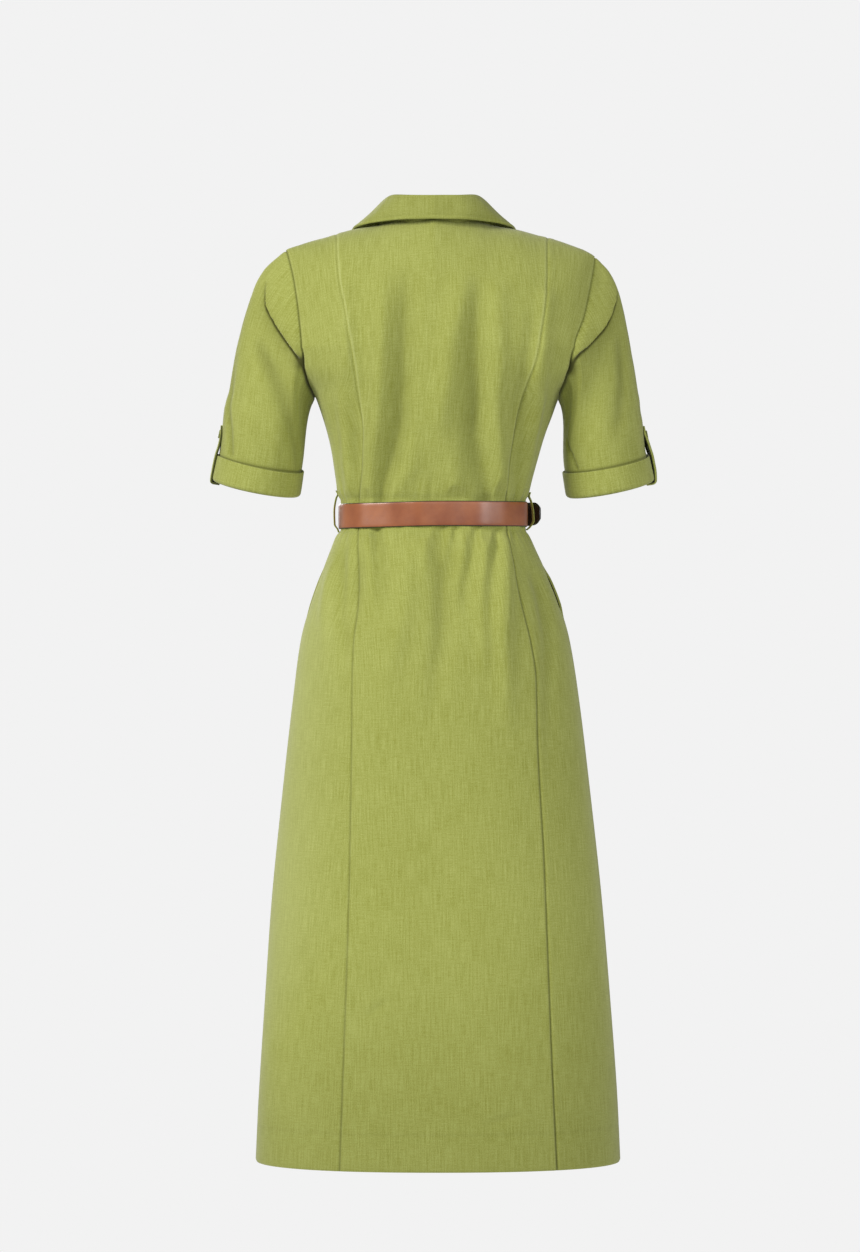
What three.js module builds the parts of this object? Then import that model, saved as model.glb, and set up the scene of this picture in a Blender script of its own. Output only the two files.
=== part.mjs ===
// A belted shirt dress, filled out as if worn: a hollow shell of cloth walls, open at the neck, hem and cuffs.
// Millimetres. The origin is the middle of the neck opening at shoulder height, +Z up, +Y the front of the
// dress and +X the wearer's right. Left and right are the wearer's.
import * as THREE from "three";

const CLOTH = 2; // one layer of cloth
const GAP = 0.4; // left between two pieces that are sewn to each other
const HEM = -1162; // the lower edge of the skirt
const CHEST = -150; // rings lie flat up to here, and above it the cloth arches over the shoulders
const ARC = 200; // the share of the height scale that the arch takes
const UNDERARM = -209;
const RIDGE_Y = -8; // the shoulder seam runs a little behind the middle
const BACK_ARCH = 2.05; // how full the arch is: 2 is an ellipse, less is flatter
const FRONT_ARCH = 1.55;
const SEAT = 0.4; // between a piece and what it lies on
const PLACKET = 16; // half the width of the button band
const BELT_Z = -356.5;
const BELT_WIDTH = 31;
const BELT_LEATHER = 2.5;
const BUTTON = { radius: 7.5, thick: 2.8, segments: 14 };
const POCKET = { bottom: -640, top: -430 };

// The body: half width, sideways shift of its middle, depth to the back and to the front, squareness.
const BODY = [
  { at: -1162, half: 227.5, shift: 5, back: 146, front: 147, square: 2.3 },
  { at: -1087, half: 224, shift: 5, back: 144, front: 144, square: 2.3 },
  { at: -962, half: 215.5, shift: 4.5, back: 140, front: 138, square: 2.3 },
  { at: -837, half: 206, shift: 3.5, back: 136, front: 131, square: 2.3 },
  { at: -712, half: 193, shift: 3, back: 132, front: 122, square: 2.3 },
  { at: -587, half: 178.5, shift: 2.5, back: 128, front: 112, square: 2.3 },
  { at: -512, half: 167.5, shift: 1.5, back: 122, front: 104, square: 2.3 },
  { at: -462, half: 153, shift: 1, back: 113, front: 98, square: 2.3 },
  { at: -425, half: 138.5, shift: 0, back: 101, front: 94, square: 2.25 },
  { at: -400, half: 128, shift: -1, back: 91, front: 89, square: 2.2 },
  { at: -381, half: 119.5, shift: -1.5, back: 79, front: 84, square: 2.2 },
  { at: -376, half: 115.4, shift: -1, back: 75.2, front: 81.2, square: 2.2 },
  { at: -357, half: 115, shift: -1, back: 75, front: 81, square: 2.2 },
  { at: -338, half: 115.4, shift: -1, back: 75.2, front: 81.2, square: 2.2 },
  { at: -332, half: 118.6, shift: -1, back: 77.5, front: 84, square: 2.2 },
  { at: -312, half: 122.5, shift: 0, back: 82, front: 96, square: 2.25 },
  { at: -262, half: 133.5, shift: 2.5, back: 92, front: 116, square: 2.3 },
  { at: -225, half: 144, shift: 2, back: 98, front: 119, square: 2.35 },
  { at: -205, half: 153, shift: 3, back: 100.5, front: 117, square: 2.4 },
  { at: -175, half: 181, shift: 5, back: 103, front: 113, square: 2.4 },
  { at: -150, half: 196, shift: 6, back: 104, front: 110, square: 2.4 },
];

// The shoulder line: height over the distance from the middle.
const RIDGE = [
  { at: 0, z: 28 },
  { at: 50, z: 13 },
  { at: 72, z: 5 },
  { at: 103, z: -1 },
  { at: 136, z: -12 },
  { at: 164, z: -20.5 },
  { at: 186, z: -27 },
  { at: 204, z: -36 },
];

// The two seams that shape the back, hem to shoulder: distance of each from the middle.
const SEAMS = [
  { at: -1162, left: -116, right: 151 },
  { at: -1035, left: -111.4, right: 145 },
  { at: -910, left: -107, right: 140.3 },
  { at: -782, left: -103.6, right: 135.3 },
  { at: -635, left: -101.4, right: 127.7 },
  { at: -560, left: -101, right: 126.3 },
  { at: -515, left: -99.5, right: 119.5 },
  { at: -465, left: -95, right: 107.2 },
  { at: -430, left: -94.4, right: 99.2 },
  { at: -402, left: -94.2, right: 94.6 },
  { at: -374, left: -94, right: 90 },
  { at: -340, left: -93.5, right: 88.8 },
  { at: -300, left: -90.2, right: 94 },
  { at: -255, left: -88, right: 102 },
  { at: -216, left: -93.8, right: 111 },
  { at: -162, left: -100.4, right: 127 },
  { at: -104, left: -111, right: 136.4 },
  { at: -64, left: -118.6, right: 140.2 },
  { at: -24, left: -121.4, right: 140.6 },
  { at: 5, left: -122, right: 141 },
];

// The armhole edges, underarm to shoulder: share of the way round from the middle to the side.
const ARMHOLES = [
  { at: -209, left: 1, right: 1, leftFront: 1, rightFront: 1 },
  { at: -205, left: 0.93, right: 0.9, leftFront: 0.89, rightFront: 0.89 },
  { at: -196, left: 0.84, right: 0.8, leftFront: 0.8, rightFront: 0.8 },
  { at: -180, left: 0.705, right: 0.67, leftFront: 0.7, rightFront: 0.68 },
  { at: -150, left: 0.616, right: 0.6, leftFront: 0.61, rightFront: 0.6 },
  { at: -110, left: 0.637, right: 0.68, leftFront: 0.61, rightFront: 0.62 },
  { at: -60, left: 0.682, right: 0.765, leftFront: 0.64, rightFront: 0.69 },
  { at: 0, left: 0.755, right: 0.855, leftFront: 0.72, rightFront: 0.79 },
  { at: 50, left: 0.8, right: 0.885, leftFront: 0.8, rightFront: 0.885 },
];

// The neck edge: height on the arch over the distance from the middle, at the back and at the front.
const NECK = [
  { at: 0, back: 0.7, front: 0.3 },
  { at: 25, back: 0.72, front: 0.37 },
  { at: 50, back: 0.83, front: 0.6 },
  { at: 66, back: 0.94, front: 0.84 },
  { at: 74, back: 1, front: 1 },
];

// The collar, middle of the back to its front end: the roll line and the lower edge of the fall.
const COLLAR = [
  { at: 0, rollX: 0, rollY: -58, rollZ: 37, edgeX: 0, edgeY: -73, edgeZ: 8.5 },
  { at: 0.16, rollX: 28, rollY: -54, rollZ: 37.5, edgeX: 42, edgeY: -69, edgeZ: 8 },
  { at: 0.3, rollX: 50, rollY: -36, rollZ: 39.5, edgeX: 82, edgeY: -46, edgeZ: 5.5 },
  { at: 0.42, rollX: 57, rollY: -6, rollZ: 38, edgeX: 100, edgeY: -6, edgeZ: 4.5 },
  { at: 0.58, rollX: 57, rollY: 32, rollZ: 22, edgeX: 106, edgeY: 40, edgeZ: -8 },
  { at: 0.8, rollX: 44, rollY: 68, rollZ: -14, edgeX: 98, edgeY: 88, edgeZ: -52 },
  { at: 1, rollX: 20, rollY: 96, rollZ: -62, edgeX: 74, edgeY: 113, edgeZ: -100 },
];

// The sleeves: tip direction of the cap, length of its pull, and the middle of the cuff's lower edge.
const SLEEVES = {
  left: { side: -1, out: [-0.8, 0, -0.6], pull: 0.32, foot: [-222, 20, -321] },
  right: { side: 1, out: [0.72, 0, -0.69], pull: 0.28, foot: [220, 20, -322] },
};
const SLEEVE_LEAN = { outward: 0.2, forward: 0.14 }; // of the axis, for each unit down
const SLEEVE_END = { across: 51, deep: 55 }; // half sizes at the cuff
const CUFF = { tall: 31, thick: 2.6, clear: 0.4, flare: 1.6 };
const TAB = { half: 12, thick: 2.2, long: 68 };

// The belt from the buckle round the wearer's right, the back and the left, and on over its own start:
// degrees from the middle of the front, height of the middle, distance of its inner face from the cloth.
const BELT = [
  { at: 0, turn: -2, lift: 0, off: 0.9 },
  { at: 1, turn: 90, lift: 1.2, off: 0.9 },
  { at: 2, turn: 180, lift: 0, off: 0.9 },
  { at: 3, turn: 270, lift: -1.6, off: 0.9 },
  { at: 3.6, turn: 324, lift: -1, off: 2 },
  { at: 4, turn: 360, lift: 0, off: 4.1 },
  { at: 4.65, turn: 418.5, lift: 1, off: 4.1 },
];
const BELT_TAIL = 47; // the free end runs on straight from there

const V = (x, y, z) => new THREE.Vector3(x, y, z);
const mix = (a, b, t) => a + (b - a) * t;
const range = (n) => Array.from({ length: n + 1 }, (_, i) => i / n);

// A smooth line through one column of a table, without overshoot between its rows.
function line(rows, name) {
  const x = rows.map((r) => r.at),
    y = rows.map((r) => r[name]);
  const rise = x.slice(1).map((_, i) => (y[i + 1] - y[i]) / (x[i + 1] - x[i]));
  const slope = y.map((_, i) => {
    const a = rise[Math.max(0, i - 1)],
      b = rise[Math.min(rise.length - 1, i)];
    return a * b <= 0 ? 0 : (2 * a * b) / (a + b);
  });
  return (at) => {
    const q = Math.min(Math.max(at, x[0]), x[x.length - 1]);
    let i = 0;
    while (i < x.length - 2 && q > x[i + 1]) i++;
    const h = x[i + 1] - x[i],
      t = (q - x[i]) / h;
    return (
      y[i] * (1 + 2 * t) * (1 - t) ** 2 +
      y[i + 1] * t * t * (3 - 2 * t) +
      h * (slope[i] * t * (1 - t) ** 2 - slope[i + 1] * t * t * (1 - t))
    );
  };
}

const body = Object.fromEntries(
  Object.keys(BODY[0]).map((name) => [name, line(BODY, name)]),
);
const ridgeZ = line(RIDGE, "z");
const neck = { back: line(NECK, "back"), front: line(NECK, "front") };

// A point of the body: side -1 is the back and 1 the front, u goes round from the left side (-1) over the
// middle to the right side (1), v is the height up to the chest and then the way over the shoulder.
function form(side, u, v) {
  const z = Math.min(v, CHEST);
  const arch = (Math.max(0, (v - CHEST) / ARC) * Math.PI) / 2;
  const n = body.square(z),
    s = Math.sin((u * Math.PI) / 2),
    c = Math.cos((u * Math.PI) / 2);
  const r = (Math.abs(c) ** n + Math.abs(s) ** n) ** (-1 / n);
  const x = body.shift(z) + body.half(z) * r * s;
  const deep = side * (side < 0 ? body.back(z) : body.front(z)) * r * c;
  if (!arch) return V(x, deep, z);
  const m = side < 0 ? BACK_ARCH : FRONT_ARCH;
  const q = (Math.cos(arch) ** m + Math.sin(arch) ** m) ** (-1 / m);
  const up = q * Math.sin(arch);
  const y = deep * q * Math.cos(arch) + RIDGE_Y * up * up;
  return V(x, y, CHEST + (ridgeZ(Math.abs(x)) - CHEST) * up);
}

// The outward direction of the body at a point of it. On the shoulder and side seams the two sides share one.
function outward(side, u, v) {
  const own = facing(side, u, v);
  const shared = Math.abs(u) > 0.985 || v > CHEST + ARC - 2;
  return shared ? own.add(facing(-side, u, v)).normalize() : own;
}
function facing(side, u, v) {
  const d = 0.002,
    u0 = Math.max(-1, u - d),
    u1 = Math.min(1, u + d),
    v0 = Math.max(HEM, v - 1),
    v1 = Math.min(CHEST + ARC, v + 1);
  const across = form(side, u1, v).sub(form(side, u0, v));
  const up = form(side, u, v1).sub(form(side, u, v0));
  return across.cross(up).multiplyScalar(-side).normalize();
}

// Where a distance from the middle lies round the body, at a height v.
function around(x, v) {
  const z = Math.min(v, CHEST),
    n = body.square(z);
  const s = Math.min(0.9999, Math.abs(x - body.shift(z)) / body.half(z)) ** n;
  const u = (Math.atan((s / (1 - s)) ** (1 / n)) * 2) / Math.PI;
  return Math.sign(x - body.shift(z)) * u;
}

// A back seam, as the way round the body for each v. Its table goes by real height, so it is looked up twice.
function seam(name) {
  const x = line(SEAMS, name);
  return (v) => {
    let at = x(Math.min(v, CHEST));
    for (let k = 0; k < 4 && v > CHEST; k++) at = x(form(-1, around(at, v), v).z);
    return around(at, v);
  };
}

const seams = { left: seam("left"), right: seam("right") };
const armhole = (name, sign) => {
  const u = line(ARMHOLES, name);
  return (v) => sign * (v < UNDERARM ? 1 : u(v));
};
const armholes = {
  left: { "-1": armhole("left", -1), 1: armhole("leftFront", -1) },
  right: { "-1": armhole("right", 1), 1: armhole("rightFront", 1) },
};

// How much of u makes a millimetre across at a point, and how much of v one up it.
const perMm = (side, u, v) =>
  0.002 / form(side, u - Math.sign(u) * 0.002, v).distanceTo(form(side, u, v));
const perMmUp = (side, u, v) => 1 / form(side, u, v - 1).distanceTo(form(side, u, v));

// A closed wall: the grid of outer points, the same grid moved in by the thickness, and the edges between.
// Each grid point carries its own inward step. A ring closes on itself across.
function wall(grid, ring = false) {
  const rows = grid.length,
    cols = grid[0].length,
    points = [],
    faces = [];
  for (const row of grid) for (const p of row) points.push(p.at);
  for (const row of grid) for (const p of row) points.push(p.at.clone().add(p.step));
  const outer = (i, j) => i * cols + (j % cols),
    inner = (i, j) => rows * cols + outer(i, j);
  const quad = (a, b, c, d) => faces.push(a, b, c, a, c, d);
  const across = ring ? cols : cols - 1;
  for (let i = 0; i < rows - 1; i++)
    for (let j = 0; j < across; j++) {
      quad(outer(i, j), outer(i, j + 1), outer(i + 1, j + 1), outer(i + 1, j));
      quad(inner(i, j), inner(i + 1, j), inner(i + 1, j + 1), inner(i, j + 1));
    }
  for (let j = 0; j < across; j++) {
    quad(outer(0, j), inner(0, j), inner(0, j + 1), outer(0, j + 1));
    const e = rows - 1;
    quad(outer(e, j), outer(e, j + 1), inner(e, j + 1), inner(e, j));
  }
  for (let i = 0; i < rows - 1 && !ring; i++) {
    quad(outer(i, 0), outer(i + 1, 0), inner(i + 1, 0), inner(i, 0));
    const e = cols - 1;
    quad(outer(i, e), inner(i, e), inner(i + 1, e), outer(i + 1, e));
  }
  let volume = 0;
  for (let k = 0; k < faces.length; k += 3) {
    const [a, b, c] = [0, 1, 2].map((m) => points[faces[k + m]]);
    volume += a.dot(b.clone().cross(c));
  }
  if (volume < 0)
    for (let k = 0; k < faces.length; k += 3)
      [faces[k + 1], faces[k + 2]] = [faces[k + 2], faces[k + 1]];
  const g = new THREE.BufferGeometry().setFromPoints(points);
  g.setIndex(faces);
  g.computeVertexNormals();
  return g;
}

// A wall over a surface given as a function of two shares, with its inward side found from a point inside.
function sheet(surface, across, along, thick, inside, ring = false) {
  const d = 1e-3;
  const grid = along.map((b) =>
    across.map((a) => {
      const at = surface(a, b);
      const da = surface(ring ? a + d : Math.min(1, a + d), b).sub(
        surface(ring ? a - d : Math.max(0, a - d), b),
      );
      const db = surface(a, Math.min(1, b + d)).sub(surface(a, Math.max(0, b - d)));
      return { at, step: da.cross(db).normalize() };
    }),
  );
  let sign = 0;
  for (const row of grid)
    for (const p of row) sign += p.step.dot(inside(p.at).sub(p.at));
  for (const row of grid)
    for (const p of row) p.step.multiplyScalar(Math.sign(sign) * thick);
  return wall(ring ? grid.map((row) => row.slice(0, -1)) : grid, ring);
}

const CLOTH_GREEN = new THREE.MeshStandardMaterial({ color: "#a3ab60", roughness: 0.9 });
const LEATHER = new THREE.MeshStandardMaterial({ color: "#9c6a4a", roughness: 0.5 });
const BUTTON_GREEN = new THREE.MeshStandardMaterial({ color: "#8f9656", roughness: 0.4 });

const dress = new THREE.Group();
function add(name, geometry, material = CLOTH_GREEN) {
  const mesh = new THREE.Mesh(geometry, material);
  mesh.name = name;
  dress.add(mesh);
  return mesh;
}

// The heights at which every panel has a row, so that the facets of neighbours meet.
const LEVELS = [
  -1162, -1050, -930, -810, -710, -640, -590, -545, -505, -465, -430, -400, -381, -376,
  -338, -332, -312, -288, -262, -236, -209, -196, -175, -150, -118, -80, -42, -5, 20, 38,
];
const NECK_FROM = LEVELS.indexOf(-150); // rows from here up are squeezed under the neck edge
const TOP = CHEST + ARC;

// One panel of the body between two edges, each the way round for a height. The rows above the chest end
// at the shoulder seam or at the neck edge, whichever is lower there.
function panel(side, from, to, across, hollow = 0, thick = CLOTH) {
  const end = neck[side < 0 ? "back" : "front"];
  const grid = [...LEVELS, TOP].map((level, i) =>
    across.map((a) => {
      let v = level,
        u = 0;
      for (let k = 0; k < 3; k++) {
        const u0 = from(v),
          u1 = to(v);
        u = mix(
          u0 + Math.sign(u1 - u0) * (GAP / 2) * perMm(side, u0, v),
          u1 - Math.sign(u1 - u0) * (GAP / 2) * perMm(side, u1, v),
          a,
        );
        if (i < NECK_FROM) break;
        const x = Math.abs(form(side, u, v).x);
        let top = CHEST + ARC * end(x);
        if (top > TOP - 1e-6) top = TOP - (GAP / 2) * perMmUp(side, u, TOP);
        v = mix(CHEST, top, (level - CHEST) / ARC);
      }
      const out = outward(side, u, v);
      return {
        at: form(side, u, v).addScaledVector(out, -hollow),
        step: out.multiplyScalar(-thick),
      };
    }),
  );
  return wall(grid);
}

const centre = (half) => (v) => around(half, v);
add("back_centre", panel(-1, seams.left, seams.right, range(11)));
add("back_side_left", panel(-1, armholes.left[-1], seams.left, range(6)));
add("back_side_right", panel(-1, seams.right, armholes.right[-1], range(6)));
const frontShares = [0, 0.16, 0.32, 0.46, 0.56, 0.64, 0.72, 0.79, 0.86, 0.93, 1];
const mirrored = frontShares.map((a) => 1 - a).reverse();
add("front_left", panel(1, armholes.left[1], centre(-PLACKET), frontShares));
add("front_right", panel(1, centre(PLACKET), armholes.right[1], mirrored));

// The button bands: the right one shows, and the left one lies under it and under the left front's edge.
add("placket_right", panel(1, centre(-PLACKET), centre(PLACKET), range(2)));
add(
  "placket_left",
  panel(1, centre(-PLACKET - 8), centre(PLACKET - 3), range(2), CLOTH + SEAT * 1.3),
);

// The in-seam pocket bags hang inside the front, from the side seam.
for (const [name, sign] of Object.entries({ left: -1, right: 1 })) {
  const heights = LEVELS.filter((v) => v >= POCKET.bottom && v <= POCKET.top);
  const grid = heights.map((v) =>
    [0.02, ...frontShares.slice(1, 4)].map((a) => {
      const u = mix(sign, around(sign * PLACKET, v), a);
      const out = outward(1, u, v);
      return {
        at: form(1, u, v).addScaledVector(out, -CLOTH - SEAT * 1.8),
        step: out.multiplyScalar(-CLOTH),
      };
    }),
  );
  add("pocket_" + name, wall(grid));
}

// The collar: a stand from the neck edge up to the roll line, and the fall from there out and down.
const collar = Object.fromEntries(
  Object.keys(COLLAR[0]).map((name) => [name, line(COLLAR, name)]),
);
const SIDE_NECK = 0.4; // the share of the collar at which it passes the shoulder seam
// The stand's lower edge lies beside the neck edge, on the side of the opening.
function neckEdge(share) {
  const d = 0.004,
    side = Math.abs(share) < SIDE_NECK ? -1 : 1;
  const along = onNeck(Math.min(1, share + d)).at.sub(onNeck(Math.max(-1, share - d)).at);
  const { at, out } = onNeck(share);
  const away = along.cross(out).normalize();
  if (away.dot(V(-at.x, 0, side < 0 ? 90 : 60)) < 0) away.negate();
  return at.addScaledVector(away, side < 0 ? 1.55 : 2.4).addScaledVector(out, -0.3);
}
function onNeck(share) {
  const t = Math.abs(share),
    side = t < SIDE_NECK ? -1 : 1;
  const reach = side < 0 ? t / SIDE_NECK : (1 - t) / (1 - SIDE_NECK);
  const x = mix(side < 0 ? 0 : PLACKET + 2, 74, Math.sin((reach * Math.PI) / 2));
  const v = Math.min(TOP, CHEST + ARC * neck[side < 0 ? "back" : "front"](x));
  const u = around(Math.sign(share || 1) * x, v);
  return { at: form(side, u, v), out: outward(side, u, v) };
}
const rollLine = (share) => {
  const t = Math.abs(share);
  return V(Math.sign(share) * collar.rollX(t), collar.rollY(t), collar.rollZ(t));
};
const fallEdge = (share) => {
  const t = Math.abs(share);
  return V(Math.sign(share) * collar.edgeX(t), collar.edgeY(t), collar.edgeZ(t));
};
const alongCollar = range(28);
const standSurface = (a, b) => {
  const share = mix(-1, 1, a);
  const low = neckEdge(share),
    high = rollLine(share).add(V(0, 0, -3));
  return low.lerp(high, b);
};
add(
  "collar_stand",
  sheet(standSurface, alongCollar, range(2), CLOTH, (p) => V(p.x / 3, 15, p.z)),
);
const fallSurface = (a, b) => {
  const share = mix(-1, 1, a);
  const roll = rollLine(share),
    edge = fallEdge(share);
  const p = roll.clone().lerp(edge, b);
  p.z += 5 * Math.sin(Math.PI * Math.sqrt(b)) * (1 - b);
  return p;
};
add(
  "collar_fall",
  sheet(fallSurface, alongCollar, [0, 0.15, 0.45, 1], CLOTH, (p) =>
    V(p.x, p.y, p.z - 50),
  ),
);

// The sleeves: each runs from its armhole edge to a round end inside the cuff.
const wayDown = (v) => (TOP - v) / (TOP - UNDERARM) / 2;
function armholeEdge(name, turn) {
  const side = turn <= 0.5 ? -1 : 1;
  const v = mix(TOP, UNDERARM, 2 * Math.min(turn, 1 - turn));
  const u = armholes[name][side](v);
  return form(side, u, v);
}
function sleeveFrame(name) {
  const s = SLEEVES[name],
    down = V(s.side * SLEEVE_LEAN.outward, SLEEVE_LEAN.forward, -1).normalize();
  const out = V(s.side, 0, 0).addScaledVector(down, -s.side * down.x).normalize();
  const back = down.clone().cross(out).multiplyScalar(s.side).normalize();
  return { down, out, back: back.y > 0 ? back.negate() : back, foot: V(...s.foot) };
}
// A point round the sleeve's axis: turn 0 is outside, a quarter the back, a half the inside.
function roundSleeve(name, turn, up, grow) {
  const f = sleeveFrame(name),
    t = turn * 2 * Math.PI;
  return f.foot
    .clone()
    .addScaledVector(f.down, -up)
    .addScaledVector(f.out, (SLEEVE_END.across + grow) * Math.cos(t))
    .addScaledVector(f.back, (SLEEVE_END.deep + grow) * Math.sin(t));
}
const HANG = 0.88; // the share of the sleeve above the cuff, and from there down it is a straight tube
function sleeveSurface(name) {
  const s = SLEEVES[name],
    f = sleeveFrame(name);
  return (turn, share) => {
    const t = ((turn % 1) + 1) % 1;
    if (share > HANG) {
      const up = mix(CUFF.tall + 1, 4, (share - HANG) / (1 - HANG));
      return roundSleeve(name, t, up, 0);
    }
    const b = share / HANG;
    const start = armholeEdge(name, t),
      end = roundSleeve(name, t, CUFF.tall + 1, 0);
    const inside = (1 - Math.cos(t * 2 * Math.PI)) / 2;
    const lead = V(...s.out).lerp(V(s.side * 0.5, 0, -0.87), inside).normalize();
    start.addScaledVector(lead, GAP * 2);
    const far = start.distanceTo(end);
    const p1 = start.clone().addScaledVector(lead, far * mix(s.pull, 0.3, inside)),
      p2 = end.clone().addScaledVector(f.down, -far * 0.35);
    const c = [(1 - b) ** 3, 3 * b * (1 - b) ** 2, 3 * b * b * (1 - b), b ** 3];
    return V(0, 0, 0)
      .addScaledVector(start, c[0])
      .addScaledVector(p1, c[1])
      .addScaledVector(p2, c[2])
      .addScaledVector(end, c[3]);
  };
}
// The sleeve has its lines where the panels have their rows, so that the facets meet round the armhole.
const down = LEVELS.filter((v) => v >= UNDERARM)
  .concat(TOP)
  .reverse()
  .map(wayDown);
const sleeveTurns = [...down, ...down.slice(0, -1).reverse().map((t) => 1 - t)];
for (const name of Object.keys(SLEEVES)) {
  const f = sleeveFrame(name);
  const axis = (p) =>
    f.foot.clone().addScaledVector(f.down, p.clone().sub(f.foot).dot(f.down));
  const surface = sleeveSurface(name);
  add(
    "sleeve_" + name,
    sheet(surface, sleeveTurns, [...range(8).map((b) => b * HANG), 1], CLOTH, axis, true),
  );
  const cuff = (turn, b) => {
    const grow = CUFF.clear + CUFF.thick + CUFF.flare * (1 - b);
    return roundSleeve(name, turn, mix(-1, CUFF.tall - 1, b), grow);
  };
  add(
    "cuff_" + name,
    sheet(cuff, sleeveTurns, [0, 0.5, 1], CUFF.thick, axis, true),
  );
  // The roll tab stands up the outer side of the sleeve and hooks under the cuff.
  const stay = CUFF.clear + CUFF.thick + CUFF.flare;
  const tabLine = [
    { up: -3.7, off: stay - 9 },
    { up: -4, off: stay - 1.5 },
    { up: -2.2, off: stay + 2.6 },
    { up: 5, off: stay + 4.2 },
    { up: 17, off: stay + 4.2 },
    { up: CUFF.tall + 4, off: stay + 2.6 },
    { up: TAB.long - 8, off: stay + 1 },
    { up: TAB.long, off: stay + 1 },
  ];
  const tab = tabLine.map((q) =>
    [-1, 0, 1].map((k) => ({
      at: roundSleeve(name, 0, q.up, q.off).addScaledVector(f.back, k * TAB.half),
      step: V(0, 0, 0),
    })),
  );
  tab.forEach((row, i) => {
    const next = tab[Math.min(i + 1, tab.length - 1)][1].at,
      before = tab[Math.max(i - 1, 0)][1].at;
    const n = next.clone().sub(before).cross(f.back).normalize();
    if (n.dot(f.out) > 0) n.negate();
    for (const p of row) p.step = n.clone().multiplyScalar(TAB.thick);
  });
  add("sleeve_tab_" + name, wall(tab));
  const knob = roundSleeve(name, 0, TAB.long - 11, stay + 1.5 + 0.4 + 0.9);
  button("tab_button_" + name, knob, f.out, 5.5, 1.8);
}

function button(name, at, out, radius, thick) {
  const g = new THREE.CylinderGeometry(
    radius * 0.92,
    radius,
    thick,
    BUTTON.segments,
  );
  const mesh = add(name, g, BUTTON_GREEN);
  mesh.position.copy(at);
  mesh.quaternion.setFromUnitVectors(V(0, 1, 0), out);
}

// The buttons down the front, evenly spaced but none behind the belt.
const BUTTON_HEIGHTS = [
  -118, -190, -262, -318, -412, -492, -572, -652, -732, -812, -892,
];
BUTTON_HEIGHTS.forEach((z, i) => {
  const v = z;
  const out = outward(1, around(0.01, v), v);
  const at = form(1, around(0.01, v), v).addScaledVector(out, SEAT + BUTTON.thick / 2);
  button("button_" + (i + 1), at, out, BUTTON.radius, BUTTON.thick);
});

// The belt: one strap that starts at the buckle and ends in a free tail at the wearer's right.
const belt = Object.fromEntries(
  Object.keys(BELT[0]).map((name) => [name, line(BELT, name)]),
);
function beltPoint(share, high) {
  const way = Math.min(share, 4.65),
    turn = (belt.turn(way) * Math.PI) / 180;
  const side = Math.cos(turn) < 0 ? -1 : 1;
  const u = (Math.atan2(Math.sin(turn), Math.abs(Math.cos(turn))) * 2) / Math.PI;
  const v = BELT_Z;
  const out = outward(side, u, v).setZ(0).normalize();
  const at = form(side, u, v).addScaledVector(out, belt.off(way) + BELT_LEATHER);
  at.z = BELT_Z + belt.lift(way) + high * (BELT_WIDTH / 2);
  if (share > way) {
    const free = (share - way) * BELT_TAIL,
      ahead = V(out.y, -out.x, 0);
    at.addScaledVector(ahead, free);
    const tip = Math.max(0, (share - way - 0.72) / 0.28);
    const narrow = 1 - 0.1 * (share - way) - 0.42 * tip ** 2.5;
    at.z = BELT_Z + 1 + 1.5 * (share - way) + high * (BELT_WIDTH / 2) * narrow;
  }
  return { at, step: out.multiplyScalar(-BELT_LEATHER) };
}
const beltStops = [
  ...range(52).map((t) => t * 4.65),
  ...[0.3, 0.6, 0.78, 0.9, 1].map((t) => 4.65 + t),
];
add("belt", wall([-1, 1].map((high) => beltStops.map((s) => beltPoint(s, high)))), LEATHER);

// The buckle: a rounded frame on the strap in the middle of the front, with its prong across.
function rounded(w, h, r, shape = new THREE.Shape()) {
  shape.moveTo(-w + r, -h);
  shape.lineTo(w - r, -h).quadraticCurveTo(w, -h, w, -h + r);
  shape.lineTo(w, h - r).quadraticCurveTo(w, h, w - r, h);
  shape.lineTo(-w + r, h).quadraticCurveTo(-w, h, -w, h - r);
  shape.lineTo(-w, -h + r).quadraticCurveTo(-w, -h, -w + r, -h);
  return shape;
}
const frame = rounded(19, 22, 6);
frame.holes.push(rounded(13, 16.5, 3, new THREE.Path()));
const frontOfBelt =
  form(1, around(0.01, BELT_Z), BELT_Z).y + BELT[BELT.length - 1].off + BELT_LEATHER;
const buckle = add(
  "belt_buckle",
  new THREE.ExtrudeGeometry(frame, { depth: 3.5, bevelEnabled: false, curveSegments: 4 }),
  LEATHER,
);
buckle.rotation.x = Math.PI / 2;
buckle.position.set(0, frontOfBelt + SEAT + 3.5, BELT_Z);
const prong = add(
  "buckle_prong",
  new THREE.BoxGeometry(33, 2, 3.5),
  new THREE.MeshStandardMaterial({ color: "#6b5a3c", metalness: 1, roughness: 0.4 }),
);
prong.position.set(1, frontOfBelt + SEAT + 3.5 + 1.4, BELT_Z);

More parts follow.
